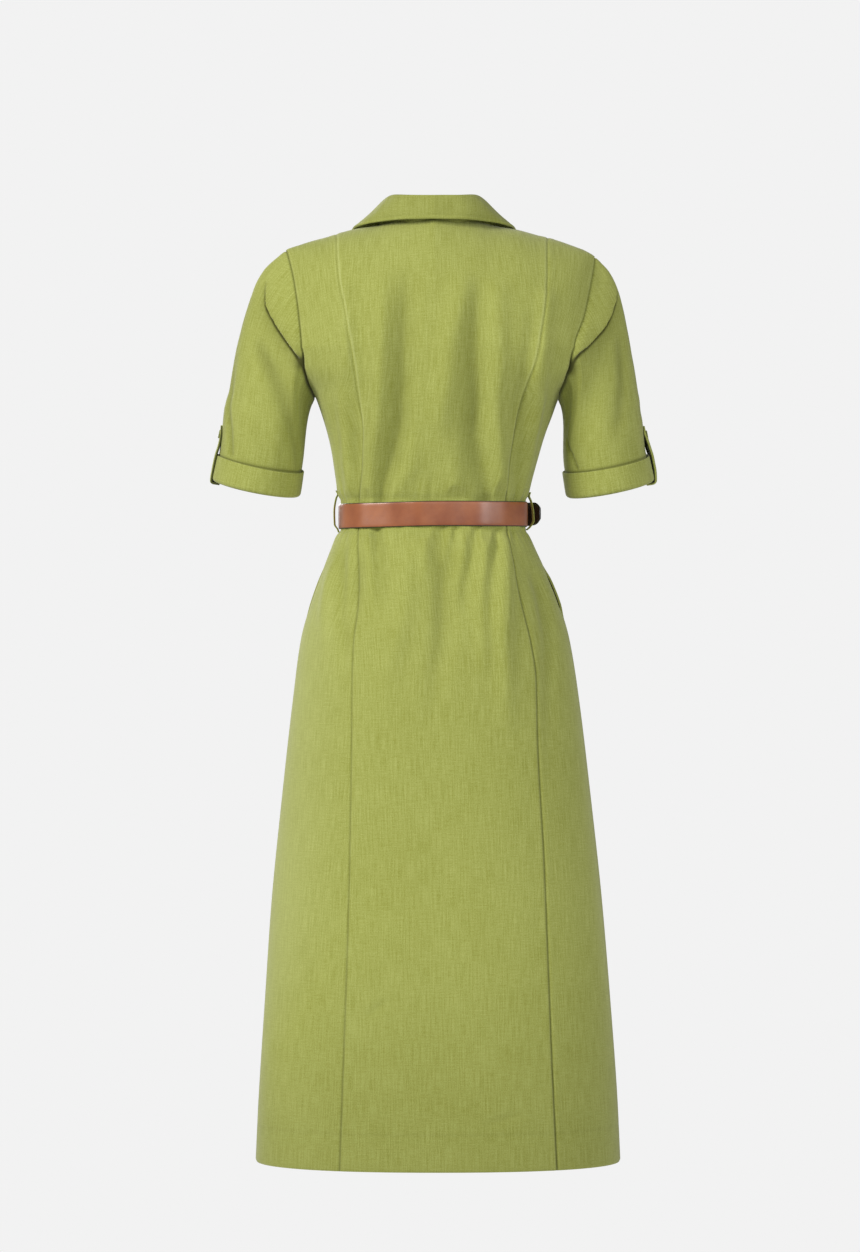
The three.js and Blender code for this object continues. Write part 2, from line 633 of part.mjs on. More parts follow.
// The belt loops: thin strips at the side seams, each standing off the cloth round the belt.
const LOOPS = {
  left: [
    { out: 0.6, z: -326 },
    { out: 5.5, z: -335 },
    { out: 8, z: -352 },
    { out: 7.5, z: -368 },
    { out: 0.6, z: -378 },
  ],
  right: [
    { out: 0.6, z: -328 },
    { out: 6.5, z: -339 },
    { out: 9, z: -353 },
    { out: 9.5, z: -363 },
    { out: 0.6, z: -375 },
  ],
};
for (const [name, rows] of Object.entries(LOOPS)) {
  const sign = name === "left" ? -1 : 1;
  const edge = (q) => {
    const z = q.out < 1 ? q.z : BELT_Z;
    return sign * body.half(z) + body.shift(z) + sign * (q.out + 1.2);
  };
  const grid = rows.map((q) =>
    [-2.5, 2.5].map((y) => ({ at: V(edge(q), y - 2, q.z), step: V(0, 0, 0) })),
  );
  grid.forEach((row, i) => {
    const a = grid[Math.max(0, i - 1)][0].at,
      b = grid[Math.min(grid.length - 1, i + 1)][0].at;
    const n = b.clone().sub(a).cross(V(0, 1, 0)).normalize();
    if (n.x * sign > 0) n.negate();
    for (const p of row) p.step = n.clone().multiplyScalar(1.2);
  });
  add("belt_loop_" + name, wall(grid));
}

export default dress;
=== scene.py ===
# %% [markdown]
# # A belted shirt dress in olive linen
# The real dress is cut flat from linen and sewn: three back panels, two fronts with a button band, set-in
# sleeves with turned-back cuffs, and a turned-down collar. It is shown filled out, as if worn, from behind.
# Cloth could be modelled by letting a simulation pull flat panels round a figure. Here each panel is a thin
# sheet laid on the form of the CAD model instead, because the folds of the real one can then be placed one by one.

# %% Load the frame
import math

import bpy
import numpy as np
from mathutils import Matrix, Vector


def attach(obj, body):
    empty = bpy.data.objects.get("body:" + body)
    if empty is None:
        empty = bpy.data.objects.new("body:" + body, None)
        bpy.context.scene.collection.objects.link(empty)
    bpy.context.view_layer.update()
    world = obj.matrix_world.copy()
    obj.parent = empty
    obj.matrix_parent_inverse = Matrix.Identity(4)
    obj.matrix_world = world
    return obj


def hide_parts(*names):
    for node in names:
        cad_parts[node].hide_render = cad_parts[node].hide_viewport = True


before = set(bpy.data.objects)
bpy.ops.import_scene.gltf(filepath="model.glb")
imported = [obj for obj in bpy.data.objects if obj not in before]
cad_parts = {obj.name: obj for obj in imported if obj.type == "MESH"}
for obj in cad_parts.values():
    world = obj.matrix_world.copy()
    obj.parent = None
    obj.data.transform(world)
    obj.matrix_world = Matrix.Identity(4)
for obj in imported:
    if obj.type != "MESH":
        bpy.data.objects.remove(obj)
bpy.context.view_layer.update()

# %% [markdown]
# ## Smooth lines through short tables
# The form is given by a few rows, with widths read off the photo and depths guessed.
# A cubic through them whose slopes never overshoot keeps a straight
# silhouette straight, where a plain spline would ripple between the rows.

# %% Tables and lines through them
MM = 0.001  # everything below is in millimetres until a mesh is made


def rows(text):
    """A table of numbers, one column each for the words of its first line."""
    lines = [line.split() for line in text.strip().splitlines()]
    columns = np.array([[float(word) for word in line] for line in lines[1:]]).T
    return dict(zip(lines[0], columns))


def smooth_line(at, value):
    """A smooth line through the points of a table, as a function of arrays."""
    rise = np.diff(value) / np.diff(at)
    before, after = np.append(rise[0], rise), np.append(rise, rise[-1])
    both = np.where(before * after > 0, before + after, 1)
    slope = np.where(before * after > 0, 2 * before * after / both, 0)

    def line(q):
        q = np.clip(q, at[0], at[-1])
        i = np.clip(np.searchsorted(at, q) - 1, 0, len(at) - 2)
        step = at[i + 1] - at[i]
        t = (q - at[i]) / step
        ends = value[i] * (1 + 2 * t) * (1 - t) ** 2 + value[i + 1] * t * t * (3 - 2 * t)
        return ends + step * (slope[i] * t * (1 - t) ** 2 - slope[i + 1] * t * t * (1 - t))

    return line


def lines_of(text, key="at"):
    table = rows(text)
    return {name: smooth_line(table[key], table[name]) for name in table if name != key}


print("a line through 0, 1, 4 at 1.5:", round(float(smooth_line(np.arange(3.0), np.array([0, 1, 4.0]))(1.5)), 2))

# %% [markdown]
# ## Soft steps and bells
# Nearly every shape below is a sum of soft steps and bells. Blender could make them with curves or sculpting,
# but as functions of whole grids of points they are exact, quick, and the same on each run.

# %% Helpers for grids of points
def mix(a, b, t):
    return a + (b - a) * t


def unit(v):
    return v / np.maximum(np.linalg.norm(v, axis=-1, keepdims=True), 1e-9)


def vec(x, y, z):
    return np.stack(np.broadcast_arrays(x, y, z), -1).astype(float)


def ease(x, low, high):
    """0 below low, 1 above high, and smooth between."""
    t = np.clip((x - low) / (high - low), 0, 1)
    return t * t * (3 - 2 * t)


def bell(d, wide):
    return np.exp(-((d / wide) ** 2))


print("a step a quarter of the way up its run:", round(float(ease(0.25, 0, 1)), 3))

# %% [markdown]
# ## The form of the dress
# Up to the chest the dress is a stack of rounded rings, nipped in at the belt. Above the chest the back and the
# front arch over the shoulders and meet in the shoulder seam. Every panel lies on this form, so neighbours meet.
# A place on it is a side (-1 back, 1 front), u, the way round from the left (-1) to the right (1), and v, the
# height up to the chest and the way over the shoulder from there.

# %% The form
HEM, CHEST, ARC, UNDERARM = -1162, -150, 200, -209
TOP = CHEST + ARC
RIDGE_Y = -8  # the shoulder seam lies a little behind the middle
ARCH = {-1: 2.05, 1: 1.55}  # fullness of the arch, back and front

BODY = lines_of("""
at half shift back front square
-1162 227.5 5 146 147 2.3
-1087 224 5 144 144 2.3
-962 215.5 4.5 140 138 2.3
-837 206 3.5 136 131 2.3
-712 193 3 132 122 2.3
-587 178.5 2.5 128 112 2.3
-512 167.5 1.5 122 104 2.3
-462 153 1 113 98 2.3
-425 138.5 0 101 94 2.25
-400 128 -1 91 89 2.2
-381 119.5 -1.5 79 84 2.2
-376 115.4 -1 75.2 81.2 2.2
-357 115 -1 75 81 2.2
-338 115.4 -1 75.2 81.2 2.2
-332 118.6 -1 77.5 84 2.2
-312 122.5 0 82 96 2.25
-262 133.5 2.5 92 116 2.3
-225 144 2 98 119 2.35
-205 153 3 100.5 117 2.4
-175 181 5 103 113 2.4
-150 196 6 104 110 2.4
""")
RIDGE = lines_of("""
at z
0 28
50 13
72 5
103 -1
136 -12
164 -20.5
186 -27
204 -36
""")["z"]


def form(side, u, v):
    u, v = np.broadcast_arrays(np.asarray(u, float), np.asarray(v, float))
    z = np.minimum(v, CHEST)
    arch = np.maximum(0, (v - CHEST) / ARC) * np.pi / 2
    n = BODY["square"](z)
    s, c = np.sin(u * np.pi / 2), np.cos(u * np.pi / 2)
    r = (np.abs(c) ** n + np.abs(s) ** n) ** (-1 / n)
    x = BODY["shift"](z) + BODY["half"](z) * r * s
    deep = side * BODY["back" if side < 0 else "front"](z) * r * c
    across, rise = np.maximum(np.cos(arch), 0), np.sin(arch)
    q = (across ** ARCH[side] + rise ** ARCH[side]) ** (-1 / ARCH[side])
    up = q * rise
    return vec(x, deep * q * across + RIDGE_Y * up * up, z + (RIDGE(np.abs(x)) - z) * up * (arch > 0))


def around(x, v):
    """The way round to a distance x from the middle."""
    z = np.minimum(v, CHEST)
    n = BODY["square"](z)
    s = np.minimum(0.9999, np.abs(x - BODY["shift"](z)) / BODY["half"](z)) ** n
    return np.sign(x - BODY["shift"](z)) * np.arctan((s / (1 - s)) ** (1 / n)) * 2 / np.pi


def facing(side, u, v):
    d = 0.002
    across = form(side, np.minimum(1, u + d), v) - form(side, np.maximum(-1, u - d), v)
    up = form(side, u, np.minimum(TOP, v + 1)) - form(side, u, np.maximum(HEM, v - 1))
    return unit(np.cross(across, up) * -side)


def outward(side, u, v):
    """The outward direction. At the side and shoulder seams both sides share one."""
    own, other = facing(side, u, v), facing(-side, u, v)
    shared = np.maximum(ease(np.abs(u), 0.94, 0.995), ease(v, TOP - 8, TOP - 1)) / 2
    return unit(mix(own, other, shared[..., None]))


print("waist, mm:", form(-1, 0, -357).round(1), "shoulder tip, mm:", form(-1, 0.8, TOP).round(1))

# %% [markdown]
# ## Seams, armholes and neck
# The two seams that shape the back run from the shoulder seam to the hem. Their places were read off
# the photo at many heights, as distances from the middle, and are turned here into ways round the form.

# %% Edges of the panels
SEAMS = lines_of("""
at left right
-1162 -116 151
-1035 -111.4 145
-910 -107 140.3
-782 -103.6 135.3
-635 -101.4 127.7
-560 -101 126.3
-515 -99.5 119.5
-465 -95 107.2
-430 -94.4 99.2
-402 -94.2 94.6
-374 -94 90
-340 -93.5 88.8
-300 -90.2 94
-255 -88 102
-216 -93.8 111
-162 -100.4 127
-104 -111 136.4
-64 -118.6 140.2
-24 -121.4 140.6
5 -122 141
""")
ARMHOLES = lines_of("""
at left right left_front right_front
-209 1 1 1 1
-205 0.93 0.9 0.89 0.89
-196 0.84 0.8 0.8 0.8
-180 0.705 0.67 0.7 0.68
-150 0.616 0.6 0.61 0.6
-110 0.637 0.68 0.61 0.62
-60 0.682 0.765 0.64 0.69
0 0.755 0.855 0.72 0.79
50 0.8 0.885 0.8 0.885
""")
NECK = lines_of("""
at back front
0 0.7 0.3
25 0.72 0.37
50 0.83 0.6
66 0.94 0.84
74 1 1
""")
BAND = 16  # half the width of the button band


def seam(name):
    """A back seam as the way round for each v. Its table goes by real height."""

    def edge(v):
        at = SEAMS[name](np.minimum(v, CHEST))
        for _ in range(5):  # settles on the way round that has the table's height
            at = np.where(v > CHEST, SEAMS[name](form(-1, around(at, v), v)[..., 2]), at)
        return around(at, v)

    return edge


def armhole(name, side):
    sign = -1 if name == "left" else 1
    share = ARMHOLES[name if side < 0 else name + "_front"]
    return lambda v: sign * np.where(v < UNDERARM, 1, share(v))


def beside_middle(x):
    return lambda v: around(x, v)


print("right seam from the middle at the hem, mm:", form(-1, seam("right")(np.array(HEM)), HEM)[0].round(1))

# %% [markdown]
# ## Folds placed one by one
# A fold is a soft trough or ridge along a line on the cloth. A simulation would make folds of its own, in places
# of its own. Here each point of the cloth is moved along the outward direction by the sum of folds that were
# placed one by one, so they lie where the real ones do, and a fold crosses a seam without tearing it.

# %% Folds along lines
STEP = 3.0  # between the points of a fold's line


def run(line_points, *values):
    """Points every STEP mm along a line, with values that change smoothly along it."""
    way = np.append(0, np.cumsum(np.linalg.norm(np.diff(line_points, axis=0), axis=1)))
    at = np.linspace(0, way[-1], max(4, int(way[-1] / STEP)))
    columns = [smooth_line(way, c) for c in [*line_points.T, *values]]
    out = [column(at) for column in columns]
    return vec(*out[:3]), out[3:]


def distance(at, path, reach):
    """For the points within reach of a path: which they are, how far off, and how far along it."""
    near = ((at > path.min(0) - reach) & (at < path.max(0) + reach)).all(1).nonzero()[0]
    if not len(near):
        return near, np.zeros(0), np.zeros(0), np.zeros((0, 3))
    away = at[near]
    closest = np.concatenate(
        [((part[:, None] - path) ** 2).sum(-1).argmin(1) for part in np.array_split(away, 1 + len(away) // 4000)]
    )
    ahead = unit(np.gradient(path, axis=0))[closest]
    off = away - path[closest]
    along = (off * ahead).sum(1)
    inner = (closest > 0) & (closest < len(path) - 1)
    square = (off**2).sum(1) - np.where(inner, np.clip(along, -STEP, STEP) ** 2, 0)
    place = closest + np.where(inner, np.clip(along / STEP, -0.5, 0.5), 0)
    return near, np.sqrt(np.maximum(square, 0)), place, off


def soft_fold(at, path, deep, wide):
    """How far a fold moves each point."""
    lift = np.zeros(len(at))
    near, d, place, _ = distance(at, path, 2.6 * wide.max())
    k = np.arange(len(path))
    lift[near] = np.interp(place, k, deep) * bell(d, np.interp(place, k, wide))
    return lift


def body_folds(side, tables):
    folds = []
    for text in tables.strip().split("\n\n"):
        table = rows("x v deep wide\n" + text)
        on_form = form(side, around(table["x"], table["v"]), table["v"])
        path, (deep, wide) = run(on_form, table["deep"], table["wide"])
        folds.append((path, deep, wide))
    return folds


print("points along a fold's line are", STEP, "mm apart")

# %% [markdown]
# ## The folds of the back and of the front
# Each small table is one fold: x and v of its line, its height (a trough is negative) and its width. Above the
# belt the cloth blouses in long soft folds, and below it shorter ones fan out. Where the back's folds run was
# read off the photo. Their heights were first worked out from how its light and dark change across them, and
# then raised until they gave as much contrast as the photo, so they are not measured depths. The front isn't
# seen, so its folds are made up, of the same kind and gentler.

# %% The folds of the back
BACK_FOLDS = """
-64 -61 0 14
-64 -94 4.3 14
-65 -125 7.4 14
-66 -156 8.9 14
-68 -193 8.9 14
-69 -217 9 14
-71 -242 8.7 14
-74 -266 8.2 14
-78 -291 6 14
-80 -316 4.5 11
-82 -342 4.5 9

-32 -68 0 13
-33 -94 -3.9 13
-34 -125 -7.4 13
-36 -156 -8.4 13
-38 -193 -9.8 13
-42 -217 -10.6 13
-44 -242 -11.6 13
-49 -266 -11.1 13
-55 -291 -10.9 13
-63 -316 -9.6 10
-67 -342 -6 8

34 -71 0 17
36 -94 3.3 17
27 -125 5.6 17
18 -156 6.8 17
15 -193 7.8 17
11 -217 7.4 17
7 -242 6.3 17
11 -266 4.5 17
22 -291 4.9 17
26 -316 6.1 14
30 -342 6.3 11

-27 -260 0 12
-27 -291 2.4 12
-39 -316 2.4 10
-49 -342 1.5 7

54 -71 0 13
54 -94 -3.6 13
52 -125 -7.2 13
50 -156 -9.1 13
50 -193 -10.9 13
50 -217 -11.9 13
49 -242 -12.8 13
50 -266 -11.2 13
55 -291 -9.8 13
61 -316 -6.3 10
65 -342 -5.1 8

79 -77 0 13
79 -94 2.4 13
79 -125 3.3 13
80 -156 4.2 13
79 -193 5.7 13
77 -217 5.4 13
77 -242 6.4 13
79 -266 8.6 13
80 -291 9.4 13
81 -316 10.2 10
83 -342 6 8

125 -104 0 12
123 -135 -2 12
117 -168 -3 12
112 -193 -4.2 12
106 -217 -5.6 12
104 -242 -4.5 12
103 -266 -3.6 12
102 -291 -5.2 12
103 -316 -3.6 10
102 -342 -2.7 7

139 -77 0 12
139 -94 3 12
135 -135 3.3 12
133 -156 6.3 12
130 -193 6.4 12
127 -223 7.5 12
123 -248 6.9 12
120 -266 4.8 12
118 -291 2.7 12
117 -316 0 10

-103 -77 0 11
-102 -94 -2.5 11
-94 -125 -2.1 11
-86 -156 -1.8 11
-86 -193 -2.2 11
-92 -223 -2.1 11
-96 -242 -2.8 11
-95 -266 -4.8 11
-94 -291 -4.8 11
-94 -316 -2.8 9
-91 -342 -1.5 7

-109 -104 0 11
-108 -125 3.6 11
-109 -156 5.2 11
-112 -193 4.2 11
-112 -217 5.4 11
-111 -242 4.9 11
-108 -266 5.4 11
-107 -291 5.2 11
-105 -316 4.5 9
-104 -342 2.4 7

-101 -377 2.6 5
-102 -402 2.6 8
-104 -426 1.9 8
-108 -457 0 8

-85 -377 2.6 5
-82 -402 3.5 8
-81 -426 3.3 8
-80 -463 0 8

-72 -377 -6.3 6
-69 -402 -5.6 9
-65 -426 -4.6 9
-65 -451 -4.1 9
-66 -482 -1.1 9
-66 -506 0 9

-26 -377 2.2 9
-28 -402 3.5 15
-33 -426 4.3 15
-34 -451 4.4 15
-38 -482 4.4 15
-47 -512 4.4 15
-56 -561 1.9 15
-61 -610 0 15

-7 -377 3.3 5
-10 -402 3.3 8
-12 -426 1.9 8
-15 -451 0 8

9 -377 -3 8
8 -402 -4.6 13
13 -426 -7.2 13
12 -451 -8 13
12 -482 -7.8 13
11 -512 -5.9 13
2 -561 -2.8 13
-5 -634 0 13

27 -377 -3 4
23 -402 -3.7 7
20 -426 -1.9 7
17 -451 0 7

42 -377 2.6 6
38 -402 2.2 9
34 -432 0 9

51 -377 -1.9 6
49 -402 -3.7 9
45 -426 -4.4 9
39 -451 -4.1 9
37 -488 0 9

64 -377 7 6
62 -402 5.6 10
60 -426 6.5 10
58 -451 5.6 10
58 -482 4.1 10
60 -512 3.7 10
62 -561 0 10

78 -377 -2.4 3.7
76 -402 -3.3 6
73 -426 0 6

88 -377 2.6 8
88 -402 5 13
87 -424 9.1 13
86 -451 10.5 13
85 -482 10.4 13
85 -512 7.6 13
88 -561 4.3 13
90 -634 0 13

97 -377 -2.6 3.7
98 -402 -1.5 6
100 -426 0 6

120 -420 0 13
129 -445 -6.3 13
137 -478 -7 13
141 -512 -5.6 13
141 -561 -4.1 13
142 -634 -1.5 13
144 -708 0 13

-114 -396 0 8
-115 -420 -4.1 10
-115 -445 -5.2 10
-117 -478 -4.4 10
-113 -512 -2.8 10
-110 -573 0 10

-128 -414 0 12
-131 -445 4.8 12
-135 -478 4.1 12
-135 -512 2 12
-135 -585 0 12

-93 -396 0 8
-95 -420 -3 10
-96 -445 -4.8 10
-97 -478 -3 10
-96 -518 0 10

-88 -976 0 4
-69 -962 -2 4
-53 -951 0 4

57 -1105 0 3.5
84 -1098 -1.7 3.5
115 -1091 0 3.5
"""

# %% The folds of the front
FRONT_FOLDS = """
-62 -150 0 14
-60 -220 -3.04 12
-56 -290 -4.56 8
-52 -338 -3.8 6

-52 -378 -4.18 6
-54 -430 -3.04 9
-58 -520 0 13

66 -140 0 14
63 -230 -3.42 12
58 -290 -4.94 8
55 -338 -4.18 6

57 -378 -4.56 6
60 -440 -2.85 9
64 -540 0 14

-96 -200 0 10
-92 -270 -3.04 9
-86 -338 -3.42 6

92 -190 0 10
90 -265 -3.04 9
83 -338 -3.42 6

-30 -378 -2.66 5
-32 -420 -1.52 7
-33 -460 0 9

34 -378 -2.66 5
36 -425 -1.52 7
37 -470 0 9

-88 -378 -3.42 6
-94 -430 -2.28 9
-101 -500 0 12

86 -378 -3.42 6
93 -430 -2.28 9
101 -510 0 12
"""
FOLDS = {-1: body_folds(-1, BACK_FOLDS), 1: body_folds(1, FRONT_FOLDS)}
print(len(FOLDS[-1]), "folds at the back,", len(FOLDS[1]), "in front")

# %% [markdown]
# ## Tucks at the belt
# A belt gathers the cloth in many small tucks, all the way round. They are too many to place one by one and no
# one looks at a single tuck, so each one's place, depth, width and length come from a seeded generator, which
# draws the same ones on each run.

# %% Tucks
TUCKS = 46
BELT_TOP, BELT_BOTTOM = -338, -378
draw = np.random.default_rng(7)
tucks = []
for side in (-1, 1):
    for k in range(TUCKS // 2):
        u = -0.96 + 1.92 * (k + draw.uniform(0.15, 0.85)) / (TUCKS // 2)
        for up in (1, -1):
            start = BELT_TOP if up > 0 else BELT_BOTTOM
            reach = draw.uniform(14, 38)
            v = start + up * reach * np.array([-0.3, 0.15, 0.5, 1])
            place = form(side, u + draw.uniform(-0.01, 0.01) * np.arange(4), v)
            deep = draw.uniform(-1.5, -0.4) * np.array([1, 1, 0.6, 0])
            path, (deep, wide) = run(place, deep, np.full(4, draw.uniform(2.6, 4.2)))
            tucks.append((side, path, deep, wide))


def lift_of(side, at):
    """The sum of the folds at points of one side of the form."""
    total = np.zeros(len(at))
    for path, deep, wide in FOLDS[side]:
        total += soft_fold(at, path, deep, wide)
    for its_side, path, deep, wide in tucks:
        if its_side == side:
            total += soft_fold(at, path, deep, wide)
    return total


print(len(tucks), "tucks at the belt")

# %% [markdown]
# ## Linen
# The cloth is a plain weave of flax. Its threads are thick and thin by turns, and the thick ones, called slubs,
# show as short streaks up and across. An image could carry them, but a noise texture stretched along each
# thread direction does the same at any scale. The threads themselves, about 0.4 mm apart, are too fine for the
# render, so the streaks are drawn 1.2 to 1.6 mm wide. The cloth reads its own cut, a UV map in metres along the
# grain, so the streaks follow each piece. Woven flax is matt, with a soft sheen from its loose fibres.

# %% Colours and nodes
def linear(colour):
    """An sRGB hex colour as the linear values that Blender takes."""
    parts = [int(colour[i : i + 2], 16) / 255 for i in (1, 3, 5)]
    return (*(x / 12.92 if x <= 0.04045 else ((x + 0.055) / 1.055) ** 2.4 for x in parts), 1)


def node(tree, kind, settings=None, inputs=None):
    """Adds a node with its own settings, and sets or links its inputs."""
    made = tree.nodes.new("ShaderNode" + kind)
    for name, value in (settings or {}).items():
        setattr(made, name, value)
    for name, value in (inputs or {}).items():
        if isinstance(value, bpy.types.NodeSocket):
            tree.links.new(value, made.inputs[name])
        else:
            made.inputs[name].default_value = value
    return made


COLOUR_A, COLOUR_B, MIXED = 6, 7, 2  # the colour sockets of a Mix node go by number, as their names repeat


def material(name):
    made = bpy.data.materials.new(name)
    made.use_nodes = True
    made.node_tree.nodes.clear()
    return made, made.node_tree


def finish_material(tree, inputs):
    shader = node(tree, "BsdfPrincipled", inputs=inputs)
    node(tree, "OutputMaterial", inputs={"Surface": shader.outputs["BSDF"]})


print("tan in linear light:", [round(x, 3) for x in linear("#ad673c")])

# %% [markdown]
# ### Light and shade painted into the linen
# Lamps and folds alone didn't give the photo's darks and lights here, so light and shade are painted into the
# linen. Every point of a cloth piece can have a number named crease, set to follow the photo: it mixes the linen
# towards a dark olive, which is painted shade, or towards a pale one where it is negative, which is painted light.
# Being painted into the colour, it stays the same under any light. Two kinds of linen are made. The darker is
# painted shade too, for the edges and undersides of the roll tabs, and also follows the photo's shade.

# %% Woven linen
# The streaks: width and length across and along the grain, in metres, and their share of the pattern. The first
# are the slubs up, the second the slubs across, the third the weave, and the last the dye's faint clouds.
STREAKS = ((0.0016, 0.032, 0.34), (0.016, 0.0016, 0.18), (0.0012, 0.0016, 0.4), (0.09, 0.14, 0.08))
# The dark olive of the painted shade, and the pale olive of the painted light.
PAINTED_SHADE_OLIVE, PAINTED_LIGHT_OLIVE = "#3b3c02", "#d3da94"


def linen(name, dark, light):
    made, tree = material(name)
    place = node(tree, "UVMap", {"uv_map": "cut"}).outputs["UV"]
    amount = 0.0
    for across, along, share in STREAKS:
        scaled = node(tree, "Mapping", inputs={"Vector": place, "Scale": (1 / across, 1 / along, 1)})
        noise = {"Vector": scaled.outputs["Vector"], "Scale": 1.0, "Detail": 2.0}
        noise = node(tree, "TexNoise", {"noise_dimensions": "2D"}, noise)
        parts = {0: noise.outputs["Fac"], 1: share, 2: amount}
        amount = node(tree, "Math", {"operation": "MULTIPLY_ADD"}, parts).outputs[0]
    spread = node(tree, "MapRange", inputs={"Value": amount, "From Min": 0.36, "From Max": 0.64})
    ends = {"Factor": spread.outputs["Result"], COLOUR_A: linear(dark), COLOUR_B: linear(light)}
    colour = node(tree, "Mix", {"data_type": "RGBA"}, ends).outputs[MIXED]
    # Painted shade and painted light: the crease number mixes the linen towards the dark olive, or towards the pale
    # one where it is negative.
    crease = node(tree, "Attribute", {"attribute_type": "GEOMETRY", "attribute_name": "crease"}).outputs["Fac"]
    towards_dark = {"Factor": crease, COLOUR_A: colour, COLOUR_B: linear(PAINTED_SHADE_OLIVE)}
    shaded = node(tree, "Mix", {"data_type": "RGBA"}, towards_dark).outputs[MIXED]
    paler = node(tree, "Math", {"operation": "MULTIPLY"}, {0: crease, 1: -1.0}).outputs[0]
    towards_pale = {"Factor": paler, COLOUR_A: shaded, COLOUR_B: linear(PAINTED_LIGHT_OLIVE)}
    toned = node(tree, "Mix", {"data_type": "RGBA"}, towards_pale).outputs[MIXED]
    bump = node(tree, "Bump", inputs={"Strength": 0.3, "Distance": 0.0004, "Height": spread.outputs["Result"]})
    finish_material(tree, {
        "Base Color": toned, "Roughness": 0.88, "IOR": 1.53, "Specular IOR Level": 0.35,
        "Sheen Weight": 0.2, "Sheen Roughness": 0.5, "Normal": bump.outputs["Normal"],
    })
    return made


WOVEN_LINEN = linen("woven_linen", "#959a40", "#b2b965")
# A darker copy of the linen, which is painted shade.
PAINTED_SHADE_LINEN = linen("painted_shade_linen", "#4a4e1a", "#565b24")
print("linen threads 0.4 mm apart, drawn as streaks", STREAKS[0][0] / MM, "mm wide")

# %% [markdown]
# ## From grids to pieces
# A sheet of cloth is a grid of points for its outer face and the same grid moved in by its thickness, joined
# round the edges. Closed like that it has a real edge at the hem and the neck, which a single surface lacks.

# %% A mesh piece
def piece(name, points, faces, wears, stands_for=(), cut=None, hard=42, wears_of=None,
          crease=None):
    """A mesh piece from points in mm. It rides on the dress and stands for CAD nodes."""
    mesh = bpy.data.meshes.new(name)
    mesh.from_pydata((np.asarray(points) * MM).tolist(), [], [list(map(int, f)) for f in faces])
    for one in wears if isinstance(wears, (list, tuple)) else [wears]:
        mesh.materials.append(one)
    if wears_of is not None:
        mesh.polygons.foreach_set("material_index", np.asarray(wears_of, np.int32))
    mesh.shade_smooth()
    mesh.set_sharp_from_angle(angle=math.radians(hard))
    if cut is not None:
        corner = np.empty(len(mesh.loops), np.int32)
        mesh.loops.foreach_get("vertex_index", corner)
        mesh.uv_layers.new(name="cut").uv.foreach_set("vector", (cut[corner] * MM).astype(np.float32).ravel())
    # The painted shade and light, as a number named crease on each point, which the linen reads.
    if crease is not None:
        mesh.attributes.new("crease", "FLOAT", "POINT").data.foreach_set("value", crease.astype(np.float32))
    obj = bpy.data.objects.new(name, mesh)
    bpy.context.collection.objects.link(obj)
    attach(obj, "root")
    if stands_for:
        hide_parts(*stands_for)
    return obj


# %% [markdown]
# ### A closed wall between two grids
# Blender's Solidify would thicken one surface evenly. Here the two faces are given apart, because the hem is
# twice as thick as the rest and the seams differ inside and out.

# %% The wall
def shell(outer, inner, ring=False):
    """The points and faces of a closed wall between two grids."""
    rows_, cols = outer.shape[:2]
    points = np.concatenate([outer.reshape(-1, 3), inner.reshape(-1, 3)])
    i, j = np.meshgrid(np.arange(rows_ - 1), np.arange(cols if ring else cols - 1), indexing="ij")
    k = (j + 1) % cols
    face = np.stack([i * cols + j, i * cols + k, (i + 1) * cols + k, (i + 1) * cols + j], -1).reshape(-1, 4)
    under = len(points) // 2
    j, k = j[0], k[0]
    last = (rows_ - 1) * cols
    rims = [
        np.stack([j, under + j, under + k, k], -1),
        np.stack([last + j, last + k, under + last + k, under + last + j], -1),
    ]
    if not ring:
        i = np.arange(rows_ - 1) * cols
        e = i + cols - 1
        rims += [
            np.stack([i, i + cols, under + i + cols, under + i], -1),
            np.stack([e, under + e, under + e + cols, e + cols], -1),
        ]
    faces = np.concatenate([face, face[:, ::-1] + under, *rims])
    a, b, c, d = (points[faces[:, n]] for n in range(4))
    volume = (a * np.cross(b, c)).sum() + (a * np.cross(c, d)).sum()
    return points, faces if volume > 0 else faces[:, ::-1]


square = np.stack(np.meshgrid([0.0, 1], [0.0, 1], [0.0]), -1)[:, :, 0]
print("a wall between two squares has", len(shell(square, square + (0, 0, 1))[1]), "faces")

# %% [markdown]
# ### The cut of a piece of cloth
# A sewn piece is cut flat first. Its cut is measured here along the rows and columns of its smooth grid, and the
# same lengths make the UV map, so that the weave keeps its size wherever the cloth bends.

# %% Cut sizes and sewing
UNDER_SIDE = 7  # shifts the streaks of the inner face, mm, so they don't repeat the outer ones


def area_of(grid):
    a = grid[1:, :-1] - grid[:-1, 1:]
    b = grid[1:, 1:] - grid[:-1, :-1]
    return float(np.linalg.norm(np.cross(a, b), axis=-1).sum() / 2) * MM * MM


def cut_of(grid):
    """Where each point lies on the flat cut, in mm: along its row from the middle, and up its column."""
    across = np.cumsum(np.linalg.norm(np.diff(grid, axis=1, prepend=grid[:, :1]), axis=-1), axis=1)
    along = np.cumsum(np.linalg.norm(np.diff(grid, axis=0, prepend=grid[:1]), axis=-1), axis=0)
    return vec(across - across[:, -1:] / 2, along, 0)[..., :2]


def sew(name, node_name, base, outer, inner, wears=WOVEN_LINEN, ring=False,
        offset=(0, 0), grain=None, crease=None):
    """Makes a cloth piece from its smooth grid, for the cut, and its folded outer and inner grids."""
    points, faces = shell(outer, inner, ring)
    cut = (cut_of(base) if grain is None else grain).reshape(-1, 2) + offset
    # Only the outer face takes painted shade and light.
    if crease is not None:
        crease = np.concatenate([crease.ravel(), np.zeros(crease.size)])
    cut = np.concatenate([cut, cut + UNDER_SIDE])
    made = piece(name, points, faces, wears, [node_name], cut=cut, crease=crease)


print("a unit square in mm has an area of", area_of(square), "m2")

# %% [markdown]
# ## The panels
# Each panel is a grid between two seams, finer beside them. The cloth dips into the seam, and the seam
# allowances under it raise a low band beside the dip, as pressing does on the real one. The turned-up hem makes
# the lowest 45 mm twice as thick.

